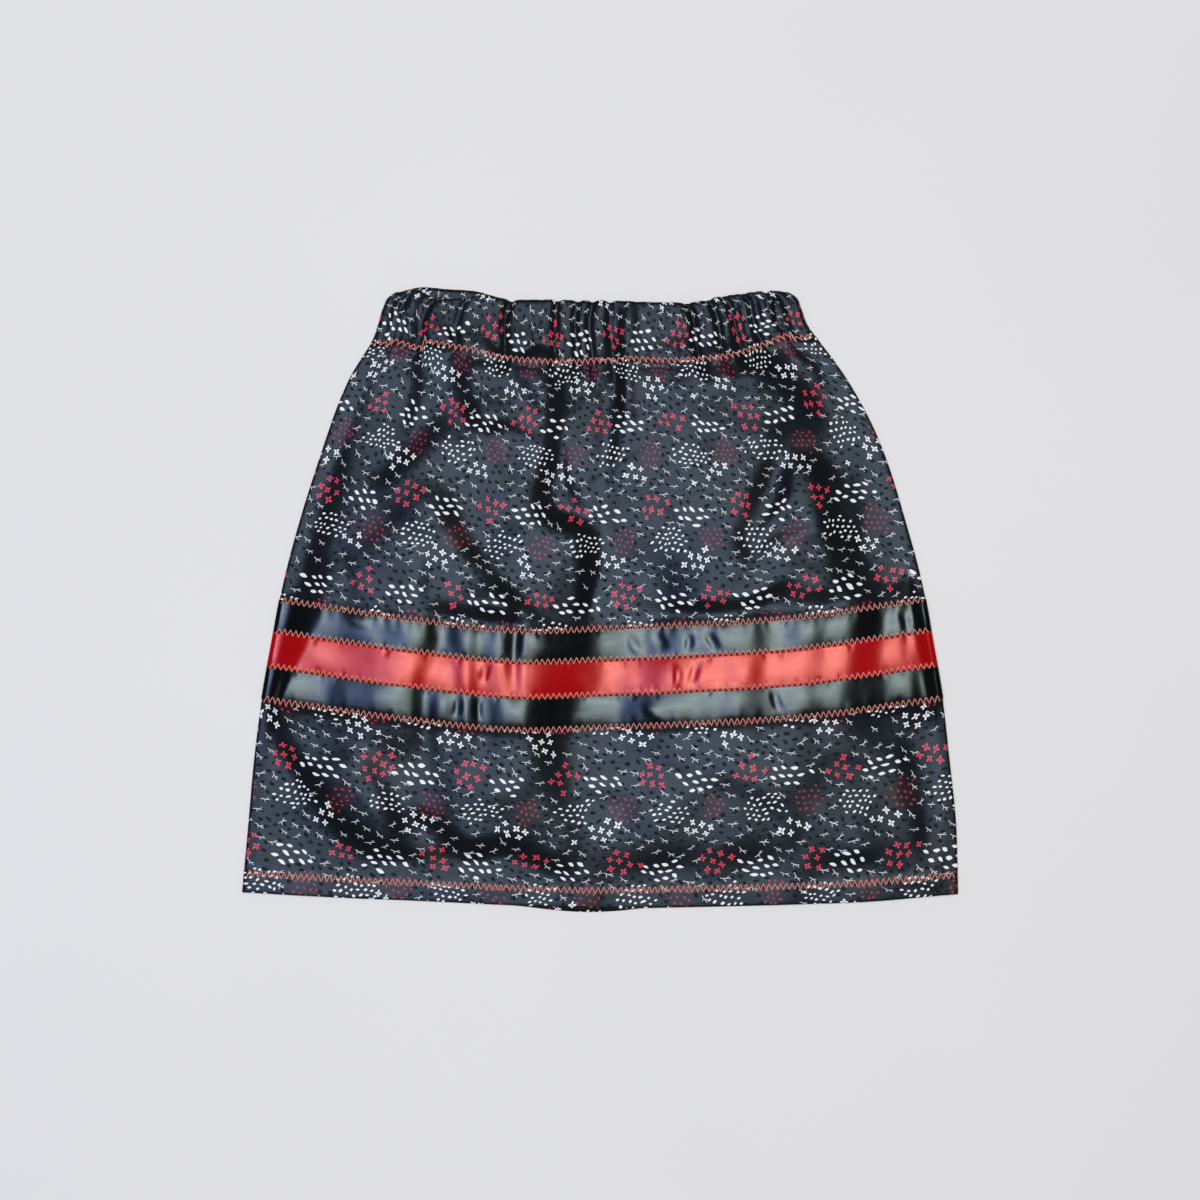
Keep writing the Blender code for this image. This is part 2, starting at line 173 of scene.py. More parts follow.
# Folds: each runs through its points. Across its width the cloth falls by its drop, from the left of
# its way to the right, and within its reach on each side the cloth comes back to its own height.
Fold = namedtuple("Fold", "points width drop reach", defaults=(72.0,))
LEFT_RUN = ((-100, 58), (-92, 40), (-80, 22), (-67, 8), (-55, -4), (-40, -18), (-22, -40))
RIGHT_RUN = ((80, -8), (94, -6), (105, -1), (114, 5), (124, 12))
FRONT_FOLDS = table(Fold, [
    (((-28, 186), (-29, 150), (-30, 130), (-32, 104), (-35, 82), (-36, 66), (-30, 55), (-20, 52),
     (-11, 49), (-7, 40), (-6, 26), (-7, 4), (-11, -20), (-16, -46)), 18, -3.5, 120.0),
    (((-38, 84), (-36, 66), (-28, 54), (-17, 49), (-10, 40), (-7, 24), (-8, 4), (-12, -20),
     (-16, -46)), 20, -2.8, 120.0),
    (((-60, 66), (-42, 56), (-28, 51), (-14, 51), (2, 60)), 30, -4.4, 100.0),
    (((-121, 196), (-121, 165), (-122, 140), (-127, 120), (-133, 98)), 14, 3.0),
    (((-92, 130), (-113, 110), (-130, 92), (-158, 70)), 21, 3.8),
    (((-92, 168), (-91, 152), (-89, 138), (-85, 120), (-78, 98)), 22, 4.8),
    (((-86, 107), (-72, 114), (-60, 115), (-48, 111), (-30, 98)), 10, 2.4),
    (((-64, 166), (-51, 144), (-36, 112)), 18, 3.2),
    (((-128, 90), (-108, 74), *LEFT_RUN), 28, -2.4),
    (((-112, 78), *LEFT_RUN), 25, -2.5),
    (((-96, 42), (-80, 24), (-66, 10), (-54, -4), (-38, -20), (-22, -36)), 18, -2.4),
    (((-142, 178), (-152, 150), (-160, 122), (-168, 95), (-176, 68), (-183, 40), (-190, 8),
     (-196, -20)), 26, 2.0),
    (((11, 178), (11, 156), (10, 130), (9, 105), (7, 78)), 14, 3.2),
    (((8, 104), (7, 64), (12, 16)), 20, 2.0),
    (((-2, 178), (0, 140), (1, 112), (-3, 82)), 18, -1.8),
    (((-50, -2), (-34, -6), (-18, -8), (-2, -8)), 18, 1.4),
    (((61, 180), (64, 162), (67, 148), (72, 134)), 14, -2.6),
    (((78, 180), (84, 166), (90, 152), (98, 138)), 12, -1.6),
    (((86, 188), (96, 175), (107, 163), (119, 150), (131, 137), (142, 124), (152, 113)), 34, -6.6),
    (((122, 184), (133, 170), (141, 160), (149, 150), (157, 140), (166, 127),
     (174, 112)), 12, -2.2),
    (((52, 114), (85, 122), (110, 119), (150, 106)), 34, 3.8),
    (((108, 96), (128, 98), (142, 93), (150, 80), (152, 62), (156, 40), (164, 18), (173, -2),
     (184, -24)), 26, -5.8),
    (((172, 98), (175, 66), (178, 36), (184, 2)), 38, -6.2),
    (((117, 104), (110, 84), (102, 68), (97, 54), (93, 42), (96, 30), (112, 16)), 17, -2.9),
    (((6, -6), (24, -7), (62, -8), *RIGHT_RUN, (142, 22)), 17, 3.2),
    (((30, -8), (56, -8), *RIGHT_RUN), 16, 3.2),
    (((-156, 154), (-146, 168), (-138, 184)), 10, 2.6),
    (((-224, -46), (-211, -90), (-200, -110), (-189, -127), (-177, -144), (-163, -157),
     (-140, -167), (-104, -172)), 20, 5.0),
    (((-162, -88), (-149, -112), (-140, -130), (-135, -150), (-131, -176)), 27, -4.4),
    (((-136, -134), (-112, -147), (-98, -156), (-78, -180)), 17, 3.4),
    (((-122, -164), (-88, -166), (-66, -163), (-50, -167), (-36, -173), (-6, -181)), 23, 5.0),
    (((-28, -70), (-30, -100), (-27, -124), (-18, -158)), 30, -2.6),
    (((-20, -126), (2, -131), (30, -135)), 17, 1.8),
    (((-40, -118), (20, -120), (80, -121), (150, -118)), 76, 1.8),
    (((60, -116), (98, -126), (118, -140), (119, -170)), 19, 1.6),
    (((-16, -178), (24, -172), (60, -172), (80, -170), (104, -166), (134, -174)), 34, 3.4),
    (((130, -171), (160, -173), (192, -169)), 14, 2.2),
    (((136, -102), (170, -106), (196, -120)), 15, 1.7),
    (((206, -70), (203, -110), (204, -154)), 15, -2.0),
    (((216, -84), (212, -124), (214, -180)), 16, -2.6),
    (((196, -186), (222, -192), (244, -190)), 8, 1.0),
])
FOLD_TAPER = (0.34, 26.0)  # how long its ends are, as a share of its length, and at most

# How the front rises and falls along the ribbons, which hold it: from left to right, where each
# height is on the upper ribbon and on the lower one.
Stop = namedtuple("Stop", "upper_x lower_x height")
ALONG_RIBBONS = table(Stop, [
    (-240, -240, 0.0), (-188, -208, 0.0), (-176, -182, -0.1), (-150, -160, 2.4), (-117, -125, 2.7),
    (-109, -116, 1.0), (-88, -104, 2.1), (-80, -96, 1.6), (-61, -88, 2.2), (-54, -80, 0.8),
    (-48, -62, 2.0), (-44, -47, 1.8), (8, -14, -7.6), (14, -7, -7.9), (22, 6, -7.5), (57, 42, -2.8),
    (74, 66, -1.4), (82, 76, -0.7), (98, 100, -0.2), (106, 109, -0.8), (142, 134, 0.2),
    (149, 142, -0.2), (171, 164, 0.2), (188, 197, -3.0), (200, 207, -2.6), (205, 212, -3.0),
    (212, 218, -2.6), (240, 240, -2.4),
])
RIBBON_SWAY = 2.6  # how far that strays along the ribbons
BROAD = 24.0  # how much of it the cotton above and below them smooths out
HELD = 0.85  # the share of the folds that the ribbons hold flat

# A fade down the length: the level where it starts, and how many levels it takes.
Fade = namedtuple("Fade", "start span")
HELD_FROM = Fade(1.86, 0.14)
CALM_FROM = Fade(1.9, 0.1)
HELD_TO = Fade(3.0, 0.3)
NEARBY_FROM = Fade(1.4, 0.6)
NEARBY_TO = Fade(3.0, 0.75)
LOOSE_FROM = Fade(SEAM, 0.2)
SCALLOP_TO = Fade(FOLD, 0.3)
CASING_CLOSES = Fade(0.75, 0.25)

# Seeded waves: their seed, how many they are, their shortest and longest wavelength, how far their
# direction strays from across the skirt, and how much closer together they are read down the length.
Waves = namedtuple("Waves", "seed count wavelength turn down", defaults=(1.0,))
UNEVEN_WAVES = Waves(31, 7, (34, 90), pi)
GATHER_WAVES = Waves(8, 6, (30, 60), 1.5)
LOOSE_WAVES = Waves(3, 9, (38, 95), 1.3, 0.7)
SWAY_WAVES = Waves(21, 6, (60, 140), 1.5)
PUCKER_WAVES = Waves(5, 7, (6.0, 13.0), 0.35, 0.2)
SWELL_WAVES = Waves(40, 5, (40, 90), 0.4)
WRINKLE_WAVES = Waves(41, 9, (16, 40), 0.7, 0.8)
DIMPLE_WAVES = Waves(42, 7, (6, 15), 0.6, 0.3)
GATHER_READ = 300  # how wide the waist is taken to be where the gathers' sway is read
LOOSE_HEIGHT = 0.4

# What stitching does to the cloth beside it: the depth and width of its groove, the height and reach
# of the dimples along it, and the share of both where a ribbon holds the cloth.
GROOVE_DEPTH, GROOVE_WIDTH = 0.35, 2.6
DIMPLE_HEIGHT, DIMPLE_REACH = 0.2, 7.0
HELD_PUCKER = 0.35

# Places at the casing's seam where the cloth is folded over, so that the stitches step up to the
# right within PLEAT_EDGE. The step fades within PLEAT_FADE down the length.
Pleat = namedtuple("Pleat", "x step reach")
PLEATS = table(Pleat, [
    (-139.0, 4.5, 9.0), (-117.5, 6.0, 16.0), (14.0, 1.6, 8.0), (127.5, -4.0, 10.0),
])
PLEAT_EDGE = 0.9
PLEAT_FADE = 18

# Small creases on the front. Each runs through its points, and spreads so far to the left of its way
# and so far to the right. A positive height is a ridge and a negative one is a trough.
Crease = namedtuple("Crease", "points left right height")
FRONT_CREASES = table(Crease, [
    (((-134, 186), (-129, 197), (-120, 208)), 6, 3, -2.0),
    (((-123, 166), (-123, 182), (-120, 194)), 6, 3, -1.6),
    (((-117, 172), (-113, 190), (-107, 205)), 4, 6, 1.2),
    (((-92, 162), (-96, 175), (-102, 188)), 6, 4, -1.4),
    (((-60, 158), (-68, 168), (-75, 180)), 6, 3, -1.4),
    (((-72, 170), (-60, 166), (-50, 166), (-40, 171), (-32, 166), (-20, 162)), 4, 9, -2.4),
    (((12, 124), (11, 158), (12, 180), (12, 202)), 6, 2.5, -2.2),
    (((18, 108), (17, 140), (17, 170), (18, 200)), 4, 9, 1.4),
    (((98, 180), (96, 190), (92, 201)), 5, 3, -1.4),
    (((110, 186), (107, 197), (102, 207)), 6, 4, -1.8),
    (((124, 180), (120, 192), (116, 207)), 6, 3, -1.8),
    (((116, 184), (128, 168), (140, 153), (152, 136), (162, 120)), 7, 9, 0.6),
    (((38, 122), (43, 115), (52, 110)), 6, 6, -0.7),
    (((36, 62), (42, 57), (52, 52)), 8, 6, -0.8),
    (((42, 150), (48, 147), (55, 148)), 4, 4, -0.6),
    (((36, -108), (50, -116), (62, -128)), 9, 9, -0.7),
    (((-106, -104), (-98, -109), (-90, -110)), 7, 6, -0.5),
    (((184, 16), (192, 12), (200, 8)), 6, 7, -0.7),
    (((-176, 40), (-168, 20), (-164, -4)), 6, 7, -0.6),
    (((-118, 34), (-120, 14), (-119, -8)), 7, 7, -0.7),
])
CREASE_TAPER = (0.4, 14.0)
PATH_STEPS = 36  # how many straight pieces a path is measured along
LEAST_STAND = 3.0  # how low the front may lie above the floor


def smooth(xs, ys, at):
    """The cubic curve through (xs, ys), read at any array of x."""
    xs, ys = np.array(xs, float), np.array(ys, float)
    slopes = np.gradient(ys, xs)
    at = np.clip(at, xs[0], xs[-1])
    i = np.clip(np.searchsorted(xs, at) - 1, 0, len(xs) - 2)
    span = xs[i + 1] - xs[i]
    t = (at - xs[i]) / span
    value = ys[i] * (1 + 2 * t) * (1 - t) ** 2 + ys[i + 1] * t**2 * (3 - 2 * t)
    return value + span * (slopes[i] * t * (1 - t) ** 2 + slopes[i + 1] * t**2 * (t - 1))


def ease(t):
    """0 before 0, 1 after 1, and smooth between."""
    t = np.clip(t, 0, 1)
    return t * t * (3 - 2 * t)


def faded(level, fade):
    """0 above a fade, 1 below it, and smooth down its length."""
    return ease((level - fade.start) / fade.span)


def between(level, start, end):
    """1 from one fade to the other, and 0 beyond them."""
    return faded(level, start) * (1 - faded(level, end))


def bell(away, width):
    """1 at 0, and less the further away."""
    return np.exp(-((away / width) ** 2))


def below_seam(level):
    """How far a level is below the casing's seam."""
    return (level - SEAM) * np.where(level < SEAM, LINE_SPACING[FOLD], LINE_SPACING[SEAM])


def slope_down(t, bend=0.4):
    """From 1 at 0 to 0 at 1: an even slope with soft ends."""
    steep = 1 / (1 - bend)
    middle = 1 - steep * (bend / 2 + t - bend)
    start = 1 - steep * t * t / (2 * bend)
    end = steep * (1 - t) ** 2 / (2 * bend)
    return np.where(t < bend, start, np.where(t > 1 - bend, end, middle))


def softly_above(height, bend=1.2):
    """A height that never falls below 0, with a soft bend where it would."""
    return (height + np.sqrt(height * height + bend * bend)) / 2


def across(line, fraction):
    """The y of a line across the skirt, at a fraction of its way from left to right."""
    xs, ys = zip(*line)
    return smooth(xs, ys, xs[0] + fraction * (xs[-1] - xs[0]))


def side(y):
    """The x of the left and the right side seam at a y."""
    ys, left, right = zip(*SIDES)
    return smooth(ys, left, y), smooth(ys, right, y)


def wall(level):
    """The solid's thickness: most in the casing, and doubled at the hem."""
    stops = (SEAM, CASING_END, HEM_START, HEM_FULL)
    return np.interp(level, stops, (CASING_WALL, PANEL_WALL, PANEL_WALL, HEM_WALL))


def lift(level, height=RIBBON_LIFT):
    """How far the ribbons under the back raise it."""
    return np.interp(level, (RAMP_UP, RIBBONS, RIBBONS_FOOT, RAMP_DOWN), (0, height, height, 0))


def near_path(points, reach, x, y):
    """The points within reach of a smooth path: which they are, how far they are to its left, which is
    below 0 on its right, and how close to its nearer end, with its length."""
    stops = np.array(points, float)
    along = np.concatenate([[0], np.cumsum(np.hypot(*np.diff(stops, axis=0).T))])
    t = np.linspace(0, along[-1], PATH_STEPS + 1)
    px, py = smooth(along, stops[:, 0], t), smooth(along, stops[:, 1], t)
    near = (x > px.min() - reach) & (x < px.max() + reach)
    near &= (y > py.min() - reach) & (y < py.max() + reach)
    nx, ny = x[near], y[near]
    least = np.full(nx.shape, np.inf)
    place = np.zeros(nx.shape)
    hand = np.ones(nx.shape)
    for n in range(PATH_STEPS):
        dx, dy = px[n + 1] - px[n], py[n + 1] - py[n]
        share = np.clip(((nx - px[n]) * dx + (ny - py[n]) * dy) / (dx * dx + dy * dy), 0, 1)
        off_x, off_y = nx - px[n] - share * dx, ny - py[n] - share * dy
        away = np.hypot(off_x, off_y)
        closer = away < least
        least[closer] = away[closer]
        place[closer] = (n + share[closer]) / PATH_STEPS
        hand[closer] = np.where(dx * off_y > dy * off_x, 1, -1)[closer]
    return near, least * hand, np.minimum(place, 1 - place) * along[-1], along[-1]


def end_fade(to_end, length, taper):
    """0 at a path's ends and 1 from where its taper is over."""
    share, most = taper
    return ease(to_end / min(share * length, most))


def creasing(creases, x, y):
    """The height of a table of creases at each point."""
    height = np.zeros_like(x)
    for c in creases:
        near, off, to_end, length = near_path(c.points, max(c.left, c.right), x, y)
        spread = np.where(off > 0, c.left, c.right)
        profile = slope_down(np.minimum(np.abs(off) / spread, 1))
        height[near] += c.height * profile * end_fade(to_end, length, CREASE_TAPER)
    return height


def folding(folds, x, y):
    """The height of a table of folds at each point."""
    height = np.zeros_like(x)
    for f in folds:
        half = f.width / 2
        near, off, to_end, length = near_path(f.points, half + f.reach, x, y)
        step = 1 - 2 * slope_down(np.clip(off / half, -1, 1) / 2 + 0.5)
        back = slope_down(np.clip((np.abs(off) - half) / f.reach, 0, 1))
        height[near] += f.drop / 2 * step * back * end_fade(to_end, length, FOLD_TAPER)
    return height


# The front's height map: its step, half its width and half its height, and how far it is blurred.
MAP_STEP = 1.0
MAP_REACH = (252, 222)
MAP_BLUR = 1.8
MAP_INSIDE = 1.001  # how many steps from its far edges the last place is that can be read
FOLD_UNEVEN = 0.16  # how uneven the depth of the folds is, as a share


def softened(heights, radius):
    """A row of heights with its bends softened."""
    reach = int(3 * radius)
    weights = np.exp(-((np.arange(-reach, reach + 1) / radius) ** 2) / 2)
    return np.convolve(np.pad(heights, reach, "edge"), weights / weights.sum(), "valid")


@lru_cache
def relief_map(fold_gain, crease_gain):
    """The front's folds and creases as a height map."""
    xs, ys = (np.arange(-reach, reach + MAP_STEP, MAP_STEP) for reach in MAP_REACH)
    x, y = (axis.astype(float) for axis in np.meshgrid(xs, ys))
    uneven = 1 + FOLD_UNEVEN * ripple(x, y, UNEVEN_WAVES)
    heights = folding(FRONT_FOLDS, x, y) * uneven * fold_gain
    heights += creasing(FRONT_CREASES, x, y) * crease_gain
    for axis in (0, 1):
        heights = np.apply_along_axis(softened, axis, heights, MAP_BLUR / MAP_STEP)
    return heights


def relief_at(heights, x, y):
    """The height map at any points."""
    across_map = np.clip((x + MAP_REACH[0]) / MAP_STEP, 0, heights.shape[1] - MAP_INSIDE)
    up_map = np.clip((y + MAP_REACH[1]) / MAP_STEP, 0, heights.shape[0] - MAP_INSIDE)
    i, j = across_map.astype(int), up_map.astype(int)
    right, upper = across_map - i, up_map - j
    below = heights[j, i] * (1 - right) + heights[j, i + 1] * right
    above = heights[j + 1, i] * (1 - right) + heights[j + 1, i + 1] * right
    return below * (1 - upper) + above * upper


def ripple(x, y, waves, number=0):
    """Soft seeded waves of about unit height. Each number gives others of the same kind."""
    rng = np.random.default_rng(waves.seed + number)
    y = y * waves.down
    total = np.zeros_like(x)
    for _ in range(waves.count):
        length = rng.uniform(*waves.wavelength)
        angle = rng.uniform(-waves.turn, waves.turn)
        phase = rng.uniform(0, tau)
        total += np.cos(tau * (x * cos(angle) + y * sin(angle)) / length + phase)
    return total / waves.count**0.5


def back_gathers():
    """The back's gathers, which are even in pitch and vary in depth."""
    rng = np.random.default_rng(BACK_GATHER_SEED)
    left, right = CASING_SEAM[0].x, CASING_SEAM[-1].x
    count = int((right - left) / BACK_GATHER_PITCH)
    stray = BACK_GATHER_PITCH * BACK_GATHER_STRAY
    return [
        Gather(
            left + (n + 0.5) * (right - left) / count + rng.uniform(-stray, stray),
            rng.uniform(*BACK_GATHER_DEPTH),
            rng.uniform(*BACK_GATHER_TAIL),
        )
        for n in range(count)
    ]


class Form:
    """One side of the skirt: where the outer face of its cloth is."""

    def __init__(self, front, sizes):
        self.front = front
        self.sizes = sizes
        ends = (FRONT_FOLD, FRONT_HEM) if front else (BACK_FOLD, BACK_HEM)
        self.lines = (ends[0], CASING_SEAM, RIBBON_TOP, RIBBON_FOOT, ends[1])
        self.gathers = FRONT_GATHERS if front else back_gathers()
        self.up = 1 if front else -1

    def line_y(self, fraction, level):
        upper = np.clip(np.floor(level).astype(int), FOLD, HEM - 1)
        heights = np.stack([across(line, fraction) for line in self.lines])
        a = np.take_along_axis(heights, upper[None], 0)[0]
        b = np.take_along_axis(heights, upper[None] + 1, 0)[0]
        return a + (b - a) * (level - upper)

    def gathering(self, fraction, level):
        """The depth of the elastic's gathers."""
        drop = below_seam(level)
        left, right = CASING_SEAM[0].x, CASING_SEAM[-1].x
        sway = ripple(GATHER_READ * fraction, LINE_SPACING[FOLD] * level, GATHER_WAVES)
        place = left + fraction * (right - left) + sway
        depth = np.zeros_like(fraction)
        for gather in self.gathers:
            away = place - gather.x
            shape = sum(share * bell(away, width) for share, width in GATHER_SHAPE)
            sharper = gather.depth * min(1.0, gather.depth / CLEAR_GATHER)
            depth += sharper * shape * (1 - ease(drop / gather.tail))
        return depth * self.sizes.gather_gain

    def height(self, x, y, fraction, level, settled, free, gather_share=1.0):
        """The outer face's z. settled and free are 0 at the sides: settled is 1 from where the cloth
        has its full height, and free is 1 from where its folds have theirs."""
        gather = self.gathering(fraction, level) * gather_share
        if not self.front:
            base = self.sizes.underside + lift(level, self.sizes.ribbon_thickness + GAP / 2)
            return base + gather * free
        levels, puffs = zip(*PUFFS)
        turned = 2 * SIDE_HOLLOW - GAP
        stand = turned + (smooth(levels, puffs, level) - turned) * settled - gather * free
        relief = relief_at(relief_map(self.sizes.fold_gain, self.sizes.crease_gain), x, y)
        relief += LOOSE_HEIGHT * ripple(x, y, LOOSE_WAVES) * faded(level, LOOSE_FROM)
        calm = between(level, CALM_FROM, HELD_TO)
        relief = relief * (1 - HELD * calm) + self.along_ribbons(x, y, level)
        stand += (relief + self.pucker(x, y, level)) * free
        flat = lift(level) + 2 * wall(level) + GAP
        lowest = LEAST_STAND - flat
        stand = lowest + softly_above(stand - lowest)
        return flat + turned * (1 - free) + stand * free

    def along_ribbons(self, x, y, level):
        """How the ribbons rise and fall, and the cotton above and below them with them."""
        upper_xs, lower_xs, heights = zip(*ALONG_RIBBONS)
        gaps = RIBBON_COUNT - 1
        lower = np.clip((level - RIBBONS) * RIBBON_COUNT - 0.5, 0, gaps) / gaps
        held = between(level, HELD_FROM, HELD_TO)
        nearby = between(level, NEARBY_FROM, NEARBY_TO)
        x = x + RIBBON_SWAY * ripple(x, y, SWAY_WAVES)
        xs = np.arange(upper_xs[0], upper_xs[-1] + 1.0)
        total = np.zeros_like(x)
        for stops, share in ((upper_xs, 1 - lower), (lower_xs, lower)):
            line = smooth(stops, heights, xs)
            broad = np.interp(x, xs, softened(line, BROAD))
            total += share * (np.interp(x, xs, line) * held + broad * (nearby - held))
        return total

    def settling(self, left_in, right_in, level):
        """0 at the sides and 1 inwards of their shoulders."""
        if not self.front:
            return np.ones_like(left_in)
        levels, *columns = zip(*SHOULDERS)
        left, left_share, right, right_share = (np.interp(level, levels, each) for each in columns)
        risen = 1.0
        for inwards, width, share in ((left_in, left, left_share), (right_in, right, right_share)):
            soon = 1 - slope_down(np.clip(inwards / width, 0, 1))
            later = ease(inwards / SHOULDER_REST)
            risen = risen * (share * soon + (1 - share) * later)
        return risen

    def pucker(self, x, y, level):
        """The dimples that stitching draws in the cloth on both sides of it."""
        total = np.zeros_like(x)
        for line, above, below in STITCHED:
            away = (level - line) * np.where(level < line, above, below)
            waves = ripple(x, y, PUCKER_WAVES, int(line * 10))
            dimples = DIMPLE_HEIGHT * bell(away, DIMPLE_REACH) * waves
            share = HELD_PUCKER if line in (RIBBONS, RIBBONS_FOOT) else 1.0
            total += share * (dimples - GROOVE_DEPTH * bell(away, GROOVE_WIDTH))
        return total

    def place(self, q, level, under=0.0, gather_share=1.0):
        """Points at q across the skirt: 0 to 1 between the sides, and 1 more round each turn. under
        moves a point that far towards the inside of the skirt."""
        fraction = np.clip(q, 0, 1)
        left = side(self.line_y(np.zeros_like(q), level))[0]
        right = side(self.line_y(np.ones_like(q), level))[1]
        radius = wall(level) + SIDE_HOLLOW
        inner_left, inner_right = left + radius, right - radius
        x = inner_left + fraction * (inner_right - inner_left)
        y = self.line_y(fraction, level)
        settled = self.settling(x - inner_left, inner_right - x, level)
        free = ease(np.minimum(x - inner_left, inner_right - x) / SIDE_BLEND)
        z = self.height(x, y, fraction, level, settled, free, gather_share)
        y = y - self.scallop(fraction, level)
        if self.front:
            y = y + self.pleating(x, level)

        turned = np.clip(np.maximum(-q, q - 1), 0, 1)
        angle = pi / 2 * (1 - np.clip(turned / TURN_SHARE, 0, 1))
        tuck = np.clip((turned - TURN_SHARE) / (1 - TURN_SHARE), 0, 1)
        is_left = q < 0.5
        edge = np.where(is_left, left, right)
        to_middle = np.where(is_left, 1, -1)
        base = lift(level) if self.front else lift(level, self.sizes.ribbon_thickness)
        seam_z = base + wall(level) + SIDE_HOLLOW + self.up * GAP / 4
        lip_z = seam_z + self.up * SEAM_LIP
        on_side = turned > 0
        side_x = edge + (x - edge) * (1 - np.cos(angle)) + to_middle * SEAM_TUCK * tuck**2
        side_z = lip_z + (z - lip_z) * np.sin(angle) + (seam_z - lip_z) * tuck
        x, z = np.where(on_side, side_x, x), np.where(on_side, side_z, z)
        room = np.where(on_side, 1 - TURN_CROWD * turned, 1)
        x = x + under * room * to_middle * np.where(on_side, np.cos(angle), 0)
        z = z - self.up * under * room * np.where(on_side, np.sin(angle), 1)
        return np.stack([x, y, z], -1)

    def pleating(self, x, level):
        """How far the pleats at the casing's seam shift the cloth up on their right and down on their
        left."""
        total = np.zeros_like(x)
        for pleat in PLEATS:
            away = x - pleat.x
            step = pleat.step / 2 * np.tanh(away / PLEAT_EDGE)
            total += step * np.exp(-np.abs(away) / pleat.reach)
        return total * bell(below_seam(level), PLEAT_FADE)

    def scallop(self, fraction, level):
        """How far the gathers draw the waist's fold down."""
        share = SCALLOP_FRONT if self.front else SCALLOP_BACK
        return share * self.gathering(fraction, level) * (1 - faded(level, SCALLOP_TO))


TURN_SHARE = 0.8  # the share of a turn's points that go round it, before the tuck at the seam
TURN_CROWD = 0.6  # how much closer the cloth's layers lie at the side seam than between the sides
# Stitched lines, as levels, and how many millimetres one level is above and below each.
HEM_LINE = HEM_FULL - 0.015
STITCHED = [
    *((line, LINE_SPACING[line - 1], LINE_SPACING[line]) for line in (SEAM, RIBBONS, RIBBONS_FOOT)),
    (HEM_LINE, LINE_SPACING[RIBBONS_FOOT], LINE_SPACING[RIBBONS_FOOT]),
]


# -----------------------------------------------------------------------------
# Settings
# -----------------------------------------------------------------------------


def number_property(name, description, default, **options):
    return FloatProperty(name=name, description=description, default=default, **options)


def length_property(name, description, default):
    return number_property(name, description, default, unit="LENGTH", precision=5)


def count_property(name, description, default):
    return IntProperty(name=name, description=description, default=default)


def colour_property(name, description, default):
    return FloatVectorProperty(
        name=name, description=description, default=default, subtype="COLOR", size=3, min=0, max=1
    )


class SKIRT_PG_cloth(PropertyGroup):
    """The cotton's sizes and the print's colours."""

    thickness: length_property("Cloth thickness", "Thickness of the cotton", 0.00045)
    underside: length_property("Underside", "Height of the back's cloth above the floor", 0.0012)
    waist_cut: length_property("Waist cut", "Width of one panel's cut at the waist", 0.430)
    hem_cut: length_property("Hem cut", "Width of one panel's cut at the hem", 0.476)
    gather_gain: number_property("Gather depth", "Depth of the elastic's gathers", 1.2)
    fold_gain: number_property("Fold depth", "Depth of the large folds", 1.0)
    crease_gain: number_property("Crease depth", "Depth of the small creases", 1.0)
    columns: count_property("Columns", "Faces across one panel", 222)
    ground: colour_property("Ground", "Colour of the plain cloth", (0.0068, 0.0086, 0.0094))
    white_ink: colour_property("White ink", "Colour of leaves, seeds and twigs", (0.90, 0.92, 0.90))
    red_ink: colour_property("Red ink", "Colour of the red florets", (0.68, 0.055, 0.09))
    maroon_ink: colour_property("Maroon ink", "Colour of the small diamonds", (0.33, 0.035, 0.06))
    dark_ink: colour_property("Dark ink", "Colour of the flecks", (0.0035, 0.0045, 0.009))
    wrong_side: colour_property("Wrong side", "Colour of the reverse", (0.065, 0.068, 0.07))


class SKIRT_PG_ribbon(PropertyGroup):
    """The satin ribbons' size and colours."""

    thickness: length_property("Ribbon thickness", "Thickness of the satin", 0.0003)
    overlap: length_property("Overlap", "How far the middle ribbon covers its neighbours", 0.0008)
    columns: count_property("Columns", "Faces along one ribbon", 420)
    rows: count_property("Rows", "Faces across one ribbon", 16)
    charcoal: colour_property("Charcoal", "Colour of the outer ribbons", (0.0018, 0.002, 0.0023))
    red: colour_property("Red", "Colour of the middle ribbon", (0.38, 0.0015, 0.004))
    charcoal_sheen: colour_property("Charcoal sheen", "Tint of the sheen", (0.78, 0.96, 1.0))
    red_sheen: colour_property("Red sheen", "Tint of the sheen", (1.0, 0.36, 0.31))


class SKIRT_PG_thread(PropertyGroup):
    """The zigzag stitching."""

    radius: length_property("Thread radius", "Radius of the thread", 0.00033)
    stitch: length_property("Stitch length", "Length of one zigzag, there and back", 0.0038)
    width: length_property("Stitch width", "Width of the zigzag", 0.0044)
    colour: colour_property("Thread", "Colour of the thread", (0.85, 0.29, 0.20))


class SKIRT_PG_stage(PropertyGroup):
    """The floor, the lights and the camera."""

    floor: colour_property("Floor", "Colour of the floor", (0.80, 0.79, 0.75))
    camera_height: length_property("Camera height", "Height of the camera above the floor", 2.4)
    lens: number_property("Lens", "Focal length, in millimetres", 108.2)
    softbox_power: number_property("Softbox", "Power of the softbox, in watts", 92)
    window_power: number_property("Window", "Power of the cool light at the left, in watts", 28)
    sky: number_property("Sky", "Strength of the light from all round", 0.12)


Sizes = namedtuple("Sizes", "underside ribbon_thickness gather_gain fold_gain crease_gain")


def form(front, scene):
    """The skirt's form on one side, from the panel's settings."""
    cloth, ribbon = scene.skirt_cloth, scene.skirt_ribbon
    sizes = Sizes(
        underside=cloth.underside / MM,
        ribbon_thickness=ribbon.thickness / MM,
        gather_gain=cloth.gather_gain if front else 1.0,
        fold_gain=cloth.fold_gain,
        crease_gain=cloth.crease_gain,
    )
    return Form(front, sizes)


# -----------------------------------------------------------------------------
# Shader graphs
# -----------------------------------------------------------------------------


